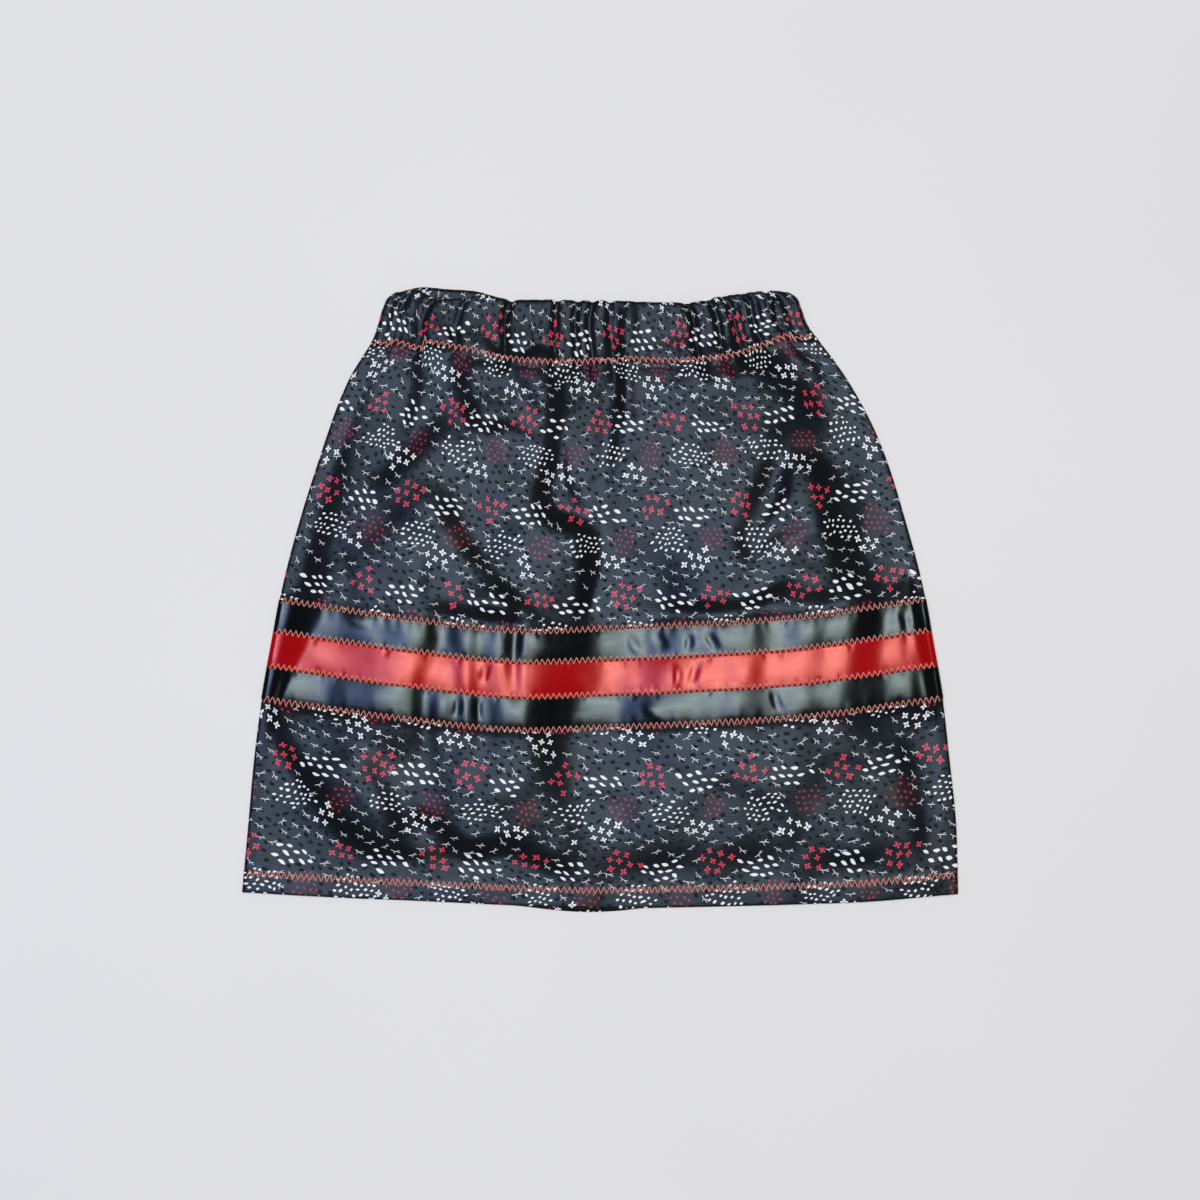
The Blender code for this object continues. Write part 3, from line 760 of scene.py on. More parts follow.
class Wire:
    """A node's output, which Python's operators and the methods of MATH turn into Math nodes."""

    def __init__(self, graph, socket):
        self.graph = graph
        self.socket = socket

    def above(self, start, end):
        """0 where this is below start, 1 where it is above end, and smooth between. start may be the
        larger."""
        settings = {"interpolation_type": "SMOOTHSTEP"}
        values = {"Value": self, "From Min": start, "From Max": end}
        return self.graph.node("ShaderNodeMapRange", settings, values)


def math_node(operation, reflected=False):
    """A wire's method that adds a Math node. A reflected one takes the wire as its last value."""

    def method(wire, *others):
        values = (*others, wire) if reflected else (wire, *others)
        return wire.graph.node("ShaderNodeMath", {"operation": operation}, dict(enumerate(values)))

    return method


MATH = {
    "__add__": "ADD", "__sub__": "SUBTRACT", "__mul__": "MULTIPLY", "__truediv__": "DIVIDE",
    "__pow__": "POWER", "__abs__": "ABSOLUTE", "__lt__": "LESS_THAN", "__gt__": "GREATER_THAN",
    "floor": "FLOOR", "fraction": "FRACT", "sine": "SINE", "cosine": "COSINE",
    "least": "MINIMUM", "most": "MAXIMUM", "wrap": "WRAP", "angle_to": "ARCTAN2",
}
for name, operation in MATH.items():
    setattr(Wire, name, math_node(operation))
for name in ("add", "sub", "mul"):
    setattr(Wire, f"__r{name}__", math_node(MATH[f"__{name}__"], reflected=True))


def shaded(colour, share):
    return [c * share for c in colour]


class Graph:
    """A material's node tree with one Principled shader."""

    def __init__(self, name, **constants):
        self.material = bpy.data.materials.new(name)
        self.material.use_nodes = True
        self.tree = self.material.node_tree
        self.shader = self.tree.nodes["Principled BSDF"]
        for socket, value in constants.items():
            self.shader.inputs[socket.replace("_", " ")].default_value = value

    def node(self, kind, settings=None, values=None, output=0):
        """Adds a node: its settings, then the values or links of its sockets. Returns one output."""
        made = self.tree.nodes.new(kind)
        for name, value in (settings or {}).items():
            setattr(made, name, value)
        for name, value in (values or {}).items():
            self.feed(made.inputs[name], value)
        return Wire(self, made.outputs[output])

    def feed(self, socket, value):
        if isinstance(value, Wire):
            self.tree.links.new(value.socket, socket)
        elif socket.type == "RGBA" and len(value) == 3:
            socket.default_value = (*value, 1)
        else:
            socket.default_value = value

    def set(self, socket, value):
        self.feed(self.shader.inputs[socket], value)

    def output_of(self, wire, output):
        return Wire(self, wire.socket.node.outputs[output])

    def parts(self, vector):
        """A vector's x and y."""
        split = self.node("ShaderNodeSeparateXYZ", None, {0: vector})
        return split, self.output_of(split, 1)

    def joined(self, *parts):
        """A vector of its parts."""
        return self.node("ShaderNodeCombineXYZ", None, dict(enumerate(parts)))

    def vector(self, operation, a, b=None, scale=None):
        values = {0: a}
        if b is not None:
            values[1] = b
        if scale is not None:
            values["Scale"] = scale
        return self.node("ShaderNodeVectorMath", {"operation": operation}, values)

    def cut(self):
        """The place on the flat cut cloth, in millimetres."""
        return self.vector("SCALE", self.node("ShaderNodeUVMap", {"uv_map": CUT_UV}), scale=1 / MM)

    def rotated(self, vector, angle):
        values = {"Vector": vector, "Angle": angle}
        return self.node("ShaderNodeVectorRotate", {"rotation_type": "Z_AXIS"}, values)

    def mix(self, factor, a, b):
        """Colour a, turning to b with the factor."""
        settings = {"data_type": "RGBA", "clamp_factor": True}
        return self.node("ShaderNodeMix", settings, {0: factor, 6: a, 7: b}, output=2)

    def noise(self, place, scale, detail=2.0, roughness=0.5):
        values = {"Vector": place, "Scale": scale, "Detail": detail, "Roughness": roughness}
        return self.node("ShaderNodeTexNoise", {"noise_dimensions": "3D"}, values)

    def stretched(self, place, x, y):
        return self.vector("MULTIPLY", place, (x, y, 1.0))

    def bump(self, height, distance, strength=1.0, normal=None):
        values = {"Height": height, "Distance": distance, "Strength": strength}
        if normal is not None:
            values["Normal"] = normal
        return self.node("ShaderNodeBump", None, values)


# -----------------------------------------------------------------------------
# The print: little florets, leaves, seeds and diamonds in loose groups, with twigs and flecks between
# -----------------------------------------------------------------------------

REPEAT = (62.0, 60.0)
ROW_STEP = 22.0  # how far each row of the repeat is moved across
PRINT_DRIFT = 9.0  # how far the print's rows wander, at most
DRIFT_SCALE = 0.045
EDGE_SCALE, EDGE_WANDER, EDGE_STRAY = 0.09, 2.2, 0.4  # how the patches' edges wander
INK_EDGE, SEED_EDGE, DIAMOND_EDGE = 0.12, 0.3, 0.2  # how soft the inks' edges are

# A twig's strokes, from a point so far across and up, and how thick they are.
Stroke = namedtuple("Stroke", "x y across up")
TWIG_STROKES = table(Stroke, [
    (-2.9, -0.35, 5.7, 0.75), (0.3, 0.0, 1.5, 1.55), (-1.0, -0.1, 1.2, -1.5),
])
TWIG_LINE = 0.4

# The motifs' lattices: their pitch across and up, how far a motif strays from its place, and their
# turn.
Lattice = namedtuple("Lattice", "pitch stray turn")
LATTICES = table(Lattice, [
    ((6.8, 6.2), 1.5, 0.25), ((6.6, 5.2), 1.4, -0.1), ((4.3, 3.6), 1.3, 0.15),
    ((9.2, 8.0), 2.6, 0.3), ((6.6, 5.4), 2.2, -0.2),
])

# How a motif is drawn: its turn, how far that strays, and its size.
Drawn = namedtuple("Drawn", "turn stray size", defaults=((),))
FLECK = Drawn(0.5, 0.6, (3.8, 2.3))
TWIG = Drawn(0.1, 0.7)
DIAMOND = Drawn(0.2, 0.4, (2.5, 2.0))
SEED = Drawn(-0.35, 0.5, (2.4, 1.5))
LEAF = Drawn(0.45, 0.35, (4.9, 2.3))
FLORET = Drawn(0.4, 0.8, (2.45, 4, 0.3, 0.4))
# How far flecks and twigs keep clear of the patches, the share of their places left empty, and how
# strong their ink is.
FLECK_ROOM, FLECKS_MISSING, FLECK_INK = -1.0, 0.12, 0.9
TWIG_ROOM, TWIGS_MISSING, TWIG_INK = 1.2, 0.15, 0.85
MAROON_GROUND = 0.09  # how far the ground near the diamonds turns to maroon

# How far apart the threads of a weave or the plies of a thread are, in millimetres, and how deep its
# relief is, in metres.
TWILL_WARP, TWILL_WEFT, TWILL_DEPTH = 0.42, 0.36, 0.00002
SLUB_DEPTH = 0.00016
SATIN_RIBS, SATIN_EDGE_RIBS, SATIN_DEPTH = 0.35, 0.5, 0.00003
SATIN_EDGE = 0.9  # how wide a ribbon's woven edge is
PLIES, PLY_DEPTH = 0.9, 0.00008

Patch = namedtuple("Patch", "x y across up")
RED_FLORETS = Patch(14, 43, 10.5, 9.0)
LEAVES = Patch(41, 39, 14.0, 7.6)
SEEDS = Patch(23, 19, 13.5, 9.0)
DIAMONDS = Patch(53, 20, 9.0, 9.5)
WHITE_FLORETS = Patch(42, 7, 10.5, 7.5)
PATCHES = (RED_FLORETS, LEAVES, SEEDS, DIAMONDS, WHITE_FLORETS)


class Motifs:
    """A staggered lattice of places, each a little off its own, with coordinates round each."""

    def __init__(self, graph, place, lattice, number):
        self.graph = graph
        pitch, stray, turn = lattice
        x, y = graph.parts(graph.rotated(place, turn))
        row = (y / pitch[1]).floor()
        shift = row * (pitch[0] / 2)
        column = ((x - shift) / pitch[0]).floor()
        cell = {"Vector": graph.joined(column, row, float(number))}
        settings = {"noise_dimensions": "3D"}
        chances = graph.node("ShaderNodeTexWhiteNoise", settings, cell, output=1)
        move_x, move_y = graph.parts(chances)
        self.chance = graph.output_of(move_x, 2)
        self.other_chance = (move_x * 7.0 + move_y * 3.0 + self.chance).fraction()
        centre_x = (column + 0.5) * pitch[0] + shift + (move_x - 0.5) * stray
        centre_y = (row + 0.5) * pitch[1] + (move_y - 0.5) * stray
        self.local = graph.joined(x - centre_x, y - centre_y)
        centre = graph.rotated(graph.joined(centre_x, centre_y), -turn)
        self.centre = graph.parts(centre)
        wander = (graph.noise(centre, EDGE_SCALE, 1.0) - 0.5) * EDGE_WANDER
        self.wander = wander + (self.other_chance - 0.5) * EDGE_STRAY

    def drawn(self, shape, how):
        """The shape at each place, turned by an angle that strays from motif to motif."""
        angle = (self.chance - 0.5) * (2 * how.stray) + how.turn
        x, y = self.graph.parts(self.graph.rotated(self.local, angle))
        return shape(x, y, *how.size)

    def within(self, patch):
        """1 where the motif's centre is in the patch, in each repeat. The patch's edge wanders."""
        return in_patch(self.centre, patch) + self.wander < 1.0


def in_patch(place, patch):
    """How far a place is from the middle of the nearest such patch: 1 at its edge."""
    x, y = place
    row = (y / REPEAT[1]).floor()
    half_x, half_y = REPEAT[0] / 2, REPEAT[1] / 2
    dx = (x - row * ROW_STEP - patch.x).wrap(half_x, -half_x)
    dy = (y - patch.y).wrap(half_y, -half_y)
    return dx * dx / patch.across**2 + dy * dy / patch.up**2


def floret(x, y, radius, petals, depth, eye):
    """A flower's outline, with a hole of the ground's colour for its eye."""
    reach = (x * x + y * y) ** 0.5
    edge = (y.angle_to(x) * petals).cosine() * (radius * depth) + radius * (1 - depth)
    return (edge - reach).above(0, INK_EDGE) * (reach - eye).above(0, INK_EDGE)


def leaf(x, y, length, breadth):
    bend = x * x * (1 / (length / 2) ** 2)
    return (1 - bend - abs(y) * (2 / breadth)).above(0, INK_EDGE)


def diamond(x, y, length, breadth):
    return (1 - abs(x) * (2 / length) - abs(y) * (2 / breadth)).above(0, DIAMOND_EDGE)


def seed(x, y, length, breadth):
    return (1 - x * x * (4 / length**2) - y * y * (4 / breadth**2)).above(0, SEED_EDGE)


def twig(x, y):
    """A few thin strokes."""
    strokes = 0.0
    for s in TWIG_STROKES:
        from_x, from_y = x - s.x, y - s.y
        along = (from_x * s.across + from_y * s.up) / (s.across**2 + s.up**2)
        share = along.most(0.0).least(1.0)
        off_x, off_y = from_x - share * s.across, from_y - share * s.up
        off = (off_x * off_x + off_y * off_y) ** 0.5
        strokes = (TWIG_LINE / 2 - off).above(-INK_EDGE / 2, 0.08).most(strokes)
    return strokes


def printed_cotton(cloth):
    """Dark sateen with the small white, red and maroon print."""
    g = Graph("printed_cotton", Specular_IOR_Level=0.17, Specular_Tint=(0.63, 0.81, 1.0, 1.0))
    cut = g.cut()
    drift = g.node("ShaderNodeTexNoise", None, {"Vector": cut, "Scale": DRIFT_SCALE}, output=1)
    drift = g.vector("SUBTRACT", drift, (0.5, 0.5, 0.5))
    place = g.vector("ADD", cut, g.vector("SCALE", drift, scale=PRINT_DRIFT))
    lattices = (Motifs(g, place, lattice, n) for n, lattice in enumerate(LATTICES, 1))
    florets, leaves, small, loose, flecks = lattices

    def clear_of(motifs, room):
        """1 where a loose motif keeps out of every patch."""
        taken = 0.0
        for p in PATCHES:
            wider = p._replace(across=p.across + room, up=p.up + room)
            taken = motifs.within(wider) + taken
        return 1 - taken.least(1.0)

    clouds = g.noise(place, 0.035, 3.0)
    pale, dark = shaded(cloth.ground, 1.12), shaded(cloth.ground, 0.86)
    ground = g.mix(clouds.above(0.35, 0.65), dark, pale)
    near_diamonds = in_patch(g.parts(place), DIAMONDS).above(1.6, 0.2)
    colour = g.mix(near_diamonds * MAROON_GROUND, ground, shaded(cloth.maroon_ink, 0.4))

    fleck = flecks.drawn(seed, FLECK) * clear_of(flecks, FLECK_ROOM)
    fleck = fleck * (flecks.other_chance > FLECKS_MISSING)
    twigs = loose.drawn(twig, TWIG) * clear_of(loose, TWIG_ROOM)
    twigs = twigs * (loose.other_chance > TWIGS_MISSING)
    flower = florets.drawn(floret, FLORET)
    inks = (
        (fleck * FLECK_INK, cloth.dark_ink),
        (twigs * TWIG_INK, cloth.white_ink),
        (small.drawn(diamond, DIAMOND) * small.within(DIAMONDS), cloth.maroon_ink),
        (small.drawn(seed, SEED) * small.within(SEEDS), cloth.white_ink),
        (leaves.drawn(leaf, LEAF) * leaves.within(LEAVES), cloth.white_ink),
        (flower * florets.within(RED_FLORETS), cloth.red_ink),
        (flower * florets.within(WHITE_FLORETS), cloth.white_ink),
    )
    for amount, ink in inks:
        colour = g.mix(amount, colour, ink)

    weave = g.noise(g.stretched(place, 1.0, 2.2), 1.6, 2.0)
    colour = g.mix(weave.above(0.35, 0.7) * 0.2, colour, (0.0, 0.0, 0.0))
    g.set("Base Color", colour)
    g.set("Roughness", weave * 0.08 + fleck * 0.3 + 0.275)
    g.set("Normal", cotton_relief(g, cut))
    return g.material


def cotton_relief(g, place):
    """The fine diagonal weave, and the thicker threads here and there."""
    x, y = g.parts(place)
    warp = ((x + y * 0.6) * (tau / TWILL_WARP)).sine() * 0.5
    weft = ((x * 0.3 - y) * (tau / TWILL_WEFT)).sine() * 0.5
    slubs = g.noise(g.stretched(place, 0.25, 1.8), 0.9, 2.0)
    fine = g.bump(warp + weft, TWILL_DEPTH, 0.5)
    return g.bump(slubs, SLUB_DEPTH, 0.6, normal=fine)


def wrong_side(cloth):
    """The cotton's reverse: plain, in soft blotches of a darker grey."""
    g = Graph("cotton_reverse", Roughness=0.8, Specular_IOR_Level=0.25)
    place = g.cut()
    clouds = g.noise(place, 0.16, 3.0)
    darker = shaded(cloth.wrong_side, 0.7)
    g.set("Base Color", g.mix(clouds.above(0.4, 0.62), cloth.wrong_side, darker))
    g.set("Normal", cotton_relief(g, place))
    return g.material


def satin(name, colour, tint, sheen, width):
    """Satin ribbon: fine warp along its length, and woven edges. The tint is its sheen's."""
    g = Graph(name, Specular_IOR_Level=sheen, Specular_Tint=(*tint, 1.0))
    place = g.cut()
    x, y = g.parts(place)
    warp = g.noise(g.stretched(place, 0.05, 4.0), 1.2, 3.0)
    edge = (abs(y) - (width / 2 - SATIN_EDGE)).above(0, 0.3)
    dust = g.noise(g.stretched(place, 0.3, 1.0), 0.25, 4.0)
    dark = shaded(colour, 0.72)
    shade = g.mix(warp.above(0.3, 0.75) * 0.35, colour, dark)
    g.set("Base Color", g.mix(edge * 0.5, shade, dark))
    grain = g.noise(g.stretched(place, 0.6, 1.0), 1.5, 2.0)
    g.set("Roughness", warp * 0.08 + dust * 0.06 + grain * 0.08 + 0.11 + edge * 0.12)
    edge_ribs = (x * (tau / SATIN_EDGE_RIBS)).sine() * edge
    ribs = (y * (tau / SATIN_RIBS)).sine() * 0.3 + warp + grain + edge_ribs
    g.set("Normal", g.bump(ribs, SATIN_DEPTH, 0.5))
    return g.material


def sewing_thread(thread):
    """Polyester thread with its plies twisted round it."""
    g = Graph("sewing_thread", Roughness=0.45, Specular_IOR_Level=0.5, Sheen_Weight=0.1)
    place = g.vector("SCALE", g.node("ShaderNodeTexCoord", output="Object"), scale=1 / MM)
    x, y = g.parts(place)
    plies = ((x * 2.0 + y * 1.1) * (tau / PLIES)).sine() * 0.5 + 0.5
    worn = g.noise(place, 0.6, 2.0)
    dark = shaded(thread.colour, 0.62)
    colour = g.mix(plies * 0.6, thread.colour, dark)
    pale = [c * 0.5 + 0.3 for c in thread.colour]
    g.set("Base Color", g.mix(worn.above(0.55, 0.75) * 0.4, colour, pale))
    g.set("Normal", g.bump(plies, PLY_DEPTH, 0.6))
    return g.material


# -----------------------------------------------------------------------------
# Sheets
# -----------------------------------------------------------------------------


def clear_selection():
    if bpy.context.mode != "OBJECT":
        bpy.ops.object.mode_set(mode="OBJECT")
    bpy.ops.object.select_all(action="DESELECT")


def grid_sheet(name, points, cut):
    """A sheet from rows of points: a grid moved to them, with the cut as its UV map."""
    rows, columns = points.shape[:2]
    clear_selection()
    bpy.ops.mesh.primitive_grid_add(x_subdivisions=columns - 1, y_subdivisions=rows - 1, size=2)
    sheet = bpy.context.active_object
    sheet.name = sheet.data.name = name
    mesh = sheet.data
    flat = np.zeros(len(mesh.vertices) * 3)
    mesh.vertices.foreach_get("co", flat)
    flat = flat.reshape(-1, 3)
    column = np.rint((flat[:, 0] + 1) / 2 * (columns - 1)).astype(int)
    row = np.rint((flat[:, 1] + 1) / 2 * (rows - 1)).astype(int)
    mesh.vertices.foreach_set("co", (points[row, column] * MM).astype(np.float32).ravel())

    corner = np.zeros(len(mesh.loops), np.int32)
    mesh.loops.foreach_get("vertex_index", corner)
    layer = mesh.uv_layers[0] if mesh.uv_layers else mesh.uv_layers.new()
    layer.name = CUT_UV
    layer.data.foreach_set("uv", (cut[row, column][corner] * MM).astype(np.float32).ravel())
    mesh.update()
    return sheet


def thicken(sheet, thickness, offset, reverse_slot=False):
    """Gives a sheet its thickness. Its reverse may take the second material."""
    wall_maker = sheet.modifiers.new("thickness", "SOLIDIFY")
    wall_maker.thickness = thickness
    wall_maker.offset = offset
    wall_maker.material_offset = 1 if reverse_slot else 0
    bpy.context.view_layer.objects.active = sheet
    bpy.ops.object.modifier_apply(modifier=wall_maker.name)
    bpy.ops.object.shade_smooth()


def arc_lengths(points, axis):
    """The distance along a grid's rows or columns, from 0."""
    steps = np.linalg.norm(np.diff(points, axis=axis), axis=-1)
    start = np.zeros_like(np.take(steps, [0], axis=axis))
    return np.concatenate([start, np.cumsum(steps, axis=axis)], axis=axis)


SIDE_NAMES = ("back", "front")
TURN_COLUMNS = 6
CASING_DEPTH = 2.3  # from the casing's outer face to its inner one, round the elastic
SEWN_DEPTH = 1.0  # the same where two layers of cloth are sewn together
PRINT_OFFSET = 17.0  # how far across the back's print is moved from the front's
HEM_TURN = 12.0
HEM_TURN_ROWS = 6
HEM_ROLL = 0.25  # how tight the hem's fold is, as a share of the waist's
CASING_TURN_END = SEAM + 3.0 / LINE_SPACING[SEAM]
CASING_TURN_ROWS = 14
WAIST_END = 0.06  # where the rows of the waist's fold take over from those of the casing

# Rows down the length: from one level to the next in steps of about so many millimetres.
Band = namedtuple("Band", "start end step")
FRONT_BANDS = table(Band, [
    (4.0, 3.86, 1.5), (3.86, 3.0, 2.4), (3.0, 2.0, 3.0), (2.0, 1.12, 2.35), (1.12, 1.0, 1.5),
    (1.0, WAIST_END, 1.5),
])
BACK_BANDS = table(Band, [
    (4.0, 3.86, 2.0), (3.86, 3.0, 4.0), (3.0, 2.0, 4.0), (2.0, 1.12, 4.0), (1.12, 1.0, 2.0),
    (1.0, WAIST_END, 2.0),
])
# How the cloth goes round a fold: levels from the fold, and the share of the depth.
Roll = namedtuple("Roll", "away share")
ROLL = table(Roll, [(0.022, 0.08), (0.006, 0.26), (0.0, 0.5), (0.006, 0.74), (0.022, 0.92)])

# A row of a panel: its level, how far it is under the outer face, and its share of the gathers.
Row = namedtuple("Row", "level under gather_share")


def cloth_rows(bands):
    """Rows from the end of the hem's turn, round the hem's fold, up to the waist and down inside the
    casing."""
    hem_turn_end = HEM - HEM_TURN / LINE_SPACING[RIBBONS_FOOT]
    hem_levels = np.linspace(hem_turn_end, HEM - 0.006, HEM_TURN_ROWS)
    rows = [Row(level, SEWN_DEPTH, 1.0) for level in hem_levels]
    rows += [Row(HEM - HEM_ROLL * r.away, SEWN_DEPTH * (1 - r.share), 1.0) for r in ROLL]
    for band in bands:
        spacing = LINE_SPACING[min(int(band.end), HEM - 1)]
        steps = max(1, round((band.start - band.end) * spacing / band.step))
        levels = np.linspace(band.start, band.end, steps + 1)
        first = 1 if band is not bands[0] else 0
        rows += [Row(level, 0.0, 1.0) for level in levels[first:]]
    rows.remove(next(r for r in rows if r.level == HEM and r.under == 0.0))
    rows += [Row(r.away, CASING_DEPTH * r.share, 1 - 0.5 * r.share) for r in ROLL]
    for level in np.linspace(WAIST_END, CASING_TURN_END, CASING_TURN_ROWS):
        closed = float(faded(level, CASING_CLOSES))
        depth = SEWN_DEPTH + (CASING_DEPTH - SEWN_DEPTH) * (1 - closed)
        rows.append(Row(level, depth, 0.5 + 0.5 * closed))
    return rows


def across_places(columns):
    """Places across a panel: round the left turn, from side to side, and round the right turn."""
    turn = np.linspace(0, 1, TURN_COLUMNS + 1)[1:]
    return np.concatenate([-turn[::-1], np.linspace(0, 1, columns + 1), 1 + turn])


def make_cloth(scene, front):
    """One panel of the skirt, hemmed, with its casing turned down inside."""
    cloth = scene.skirt_cloth
    side_form = form(front, scene)
    rows = cloth_rows(FRONT_BANDS if front else BACK_BANDS)
    q = across_places(cloth.columns if front else cloth.columns * 2 // 3)
    level, under, share = (np.array(column)[:, None] for column in zip(*rows))
    level = level + np.zeros_like(q)
    points = side_form.place(q + np.zeros_like(level), level, under, share)

    along = arc_lengths(points, 1)
    width = np.interp(level[:, 0], (FOLD, HEM), (cloth.waist_cut / MM, cloth.hem_cut / MM))
    u = (along / along[:, -1:] - 0.5) * width[:, None]
    v = arc_lengths(points, 0).mean(axis=1)
    cut = np.stack([u, v[:, None] + np.zeros_like(u)], -1)
    if not front:
        points, cut = points[:, ::-1], cut[:, ::-1] * (-1, 1) + (PRINT_OFFSET, 0)
    sheet = grid_sheet(f"cloth_{SIDE_NAMES[front]}", points, cut)
    for material in ("printed_cotton", "cotton_reverse"):
        sheet.data.materials.append(bpy.data.materials[material])
    thicken(sheet, cloth.thickness, -1, reverse_slot=True)
    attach(sheet, BODY)
    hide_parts("front_panel" if front else "back_panel")



# -----------------------------------------------------------------------------
# Ribbons
# -----------------------------------------------------------------------------

RIBBON_PLACES = ("upper", "middle", "lower")

# Creases in the satin, over the cloth's own folds.
RIBBON_CREASES = table(Crease, [
    (((-73, -40), (-75, -47), (-77, -56)), 3, 6, -0.62),
    (((50, -40), (51, -50), (50, -61)), 6, 3, 0.62),
    (((57, -20), (59, -28), (56, -38)), 5, 4, -0.56),
    (((68, -18), (74, -28), (80, -38)), 6, 4, -0.62),
    (((66, -38), (62, -50), (60, -60)), 5, 5, -0.56),
    (((-94, -60), (-94, -70), (-96, -80)), 5, 4, -0.56),
    (((-80, -62), (-81, -72), (-80, -82)), 4, 4, -0.62),
    (((114, -56), (116, -66), (120, -76)), 5, 4, -0.56),
    (((20, -20), (22, -30), (30, -40)), 7, 5, 0.50),
    (((36, -18), (40, -28), (44, -36)), 6, 5, -0.50),
    (((-33, -64), (-30, -74), (-33, -84)), 6, 5, -0.43),
    (((198, -4), (202, -14), (204, -24)), 5, 4, -0.43),
    (((-170, -6), (-160, -14), (-150, -16)), 7, 6, 0.43),
    (((28, -66), (36, -76), (44, -84)), 7, 6, 0.50),
])


# How far a ribbon stands off the cloth, in millimetres, between the seams that hold its edges.
SWELL, SWELL_VARIES, LEAST_SWELL = 0.55, 0.25, 0.2
SWELL_FULLNESS = 0.8  # the power that its rise from edge to edge takes
WRINKLE_HEIGHT = 0.1
DIMPLE_DEPTH, DIMPLE_START, DIMPLE_INWARDS = 0.5, 0.5, 1.25
BACK_RISE = 0.3  # the back ribbons' share of it, since they are pressed flat
CLEARANCE, ABOVE_CLEARANCE, CLEARANCE_BEND = 0.08, 0.12, 0.1
# At a side seam: the share of a ribbon's rise that is left, and how far out it lies.
SIDE_RISE, SIDE_OUT = 0.4, 0.15
OUTER_LAP = -0.1  # the outer ribbons' share of the overlap


def ribbon_rise(x, y, share, place, front):
    """How far a ribbon stands off the cloth. share is 0 at its upper edge and 1 at its lower one."""
    number = 7 * RIBBON_PLACES.index(place) + (0 if front else 3)
    held = np.sin(pi * np.clip(share, 0, 1)) ** SWELL_FULLNESS
    swell = SWELL + SWELL_VARIES * ripple(x, y, SWELL_WAVES, number)
    wrinkles = WRINKLE_HEIGHT * ripple(x, y, WRINKLE_WAVES, number)
    dimples = np.maximum(ripple(x, y, DIMPLE_WAVES, number) - DIMPLE_START, 0)
    puckers = -DIMPLE_DEPTH * dimples * np.maximum(1 - DIMPLE_INWARDS * held, 0)
    creases = creasing(RIBBON_CREASES, x, y) if front else 0.0
    depth = (np.maximum(swell, LEAST_SWELL) + wrinkles + creases) * held + puckers
    depth = depth * (1.0 if front else BACK_RISE)
    return CLEARANCE + softly_above(depth + ABOVE_CLEARANCE, CLEARANCE_BEND)


def ribbon_edges(place, ribbon):
    """The levels of a ribbon's upper and lower edge. The middle one laps over the others."""
    number = RIBBON_PLACES.index(place)
    lap_share = 1 if place == "middle" else OUTER_LAP
    lap = ribbon.overlap / MM / LINE_SPACING[RIBBONS] * lap_share
    return RIBBONS + number / RIBBON_COUNT - lap, RIBBONS + (number + 1) / RIBBON_COUNT + lap


def ribbon_points(scene, front, place, q, share):
    """Points on the underside of a ribbon, which lies on the cloth."""
    top, foot = ribbon_edges(place, scene.skirt_ribbon)
    level = top + (foot - top) * share
    side_form = form(front, scene)
    points = side_form.place(q, level)
    rise = ribbon_rise(points[..., 0], points[..., 1], share, place, front)
    if place == "middle":
        rise = rise + scene.skirt_ribbon.thickness / MM
    outward = np.where((q < 0) | (q > 1), SIDE_RISE, 1.0)
    points[..., 2] += side_form.up * rise * outward
    points[..., 0] += np.where(q < 0, -SIDE_OUT, np.where(q > 1, SIDE_OUT, 0))
    return points


def make_ribbon(scene, front, place):
    """One ribbon, sewn along both edges, from side seam to side seam."""
    ribbon = scene.skirt_ribbon
    q = across_places(ribbon.columns)
    share = np.linspace(1, 0, ribbon.rows + 1)[:, None] + np.zeros_like(q)
    q = q + np.zeros_like(share)
    points = ribbon_points(scene, front, place, q, share)
    along = arc_lengths(points, 1)
    width = RIBBON_WIDTH + (2 * ribbon.overlap / MM if place == "middle" else 0)
    cut = np.stack([along - along[:, -1:] / 2, (0.5 - share) * width], -1)
    if not front:
        points, cut = points[:, ::-1], cut[:, ::-1] * (-1, 1)
    suffix = SIDE_NAMES[front]
    sheet = grid_sheet(f"satin_{place}_{suffix}", points, cut)
    colour = "red" if place == "middle" else "charcoal"
    sheet.data.materials.append(bpy.data.materials[f"{colour}_satin"])
    thicken(sheet, ribbon.thickness, 1)
    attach(sheet, BODY)
    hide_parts(f"ribbon_{place}_{suffix}")


# -----------------------------------------------------------------------------
# Stitching
# -----------------------------------------------------------------------------

# Each zigzag: the level that it follows, how far below it its middle is, and its share of the stitch
# width.
Zigzag = namedtuple("Zigzag", "name level below width")
ZIGZAGS = table(Zigzag, [
    ("casing", SEAM, 0.0, 1.0),
    ("ribbons_top", RIBBONS, 0.0, 1.0),
    ("red_top", RIBBONS + 1 / RIBBON_COUNT, -1.4, 0.9),
    ("red_foot", RIBBONS + 2 / RIBBON_COUNT, -0.4, 0.9),
    ("ribbons_foot", RIBBONS_FOOT, 0.0, 1.0),
    ("hem", HEM_FULL, 0.0, 1.0),
])
# A stitch's points, from one needle hole to the next: the share of the way, and the height in thread
# radii.
Hump = namedtuple("Hump", "share height")
STITCH = table(Hump, [(0.0, -0.25), (0.1, 0.75), (0.5, 1.1), (0.9, 0.75)])
# How far needle holes stray: down the skirt, in millimetres, and along the line, as a share of a
# stitch.
HOLE_STRAY, STITCH_STRAY = 0.06, 0.05


def below_line(line, distance):
    """The levels at distances below a line, in millimetres."""
    above_it = LINE_SPACING[max(int(np.ceil(line)) - 1, FOLD)]
    below_it = LINE_SPACING[min(int(line), HEM - 1)]
    return line + distance / np.where(distance < 0, above_it, below_it)


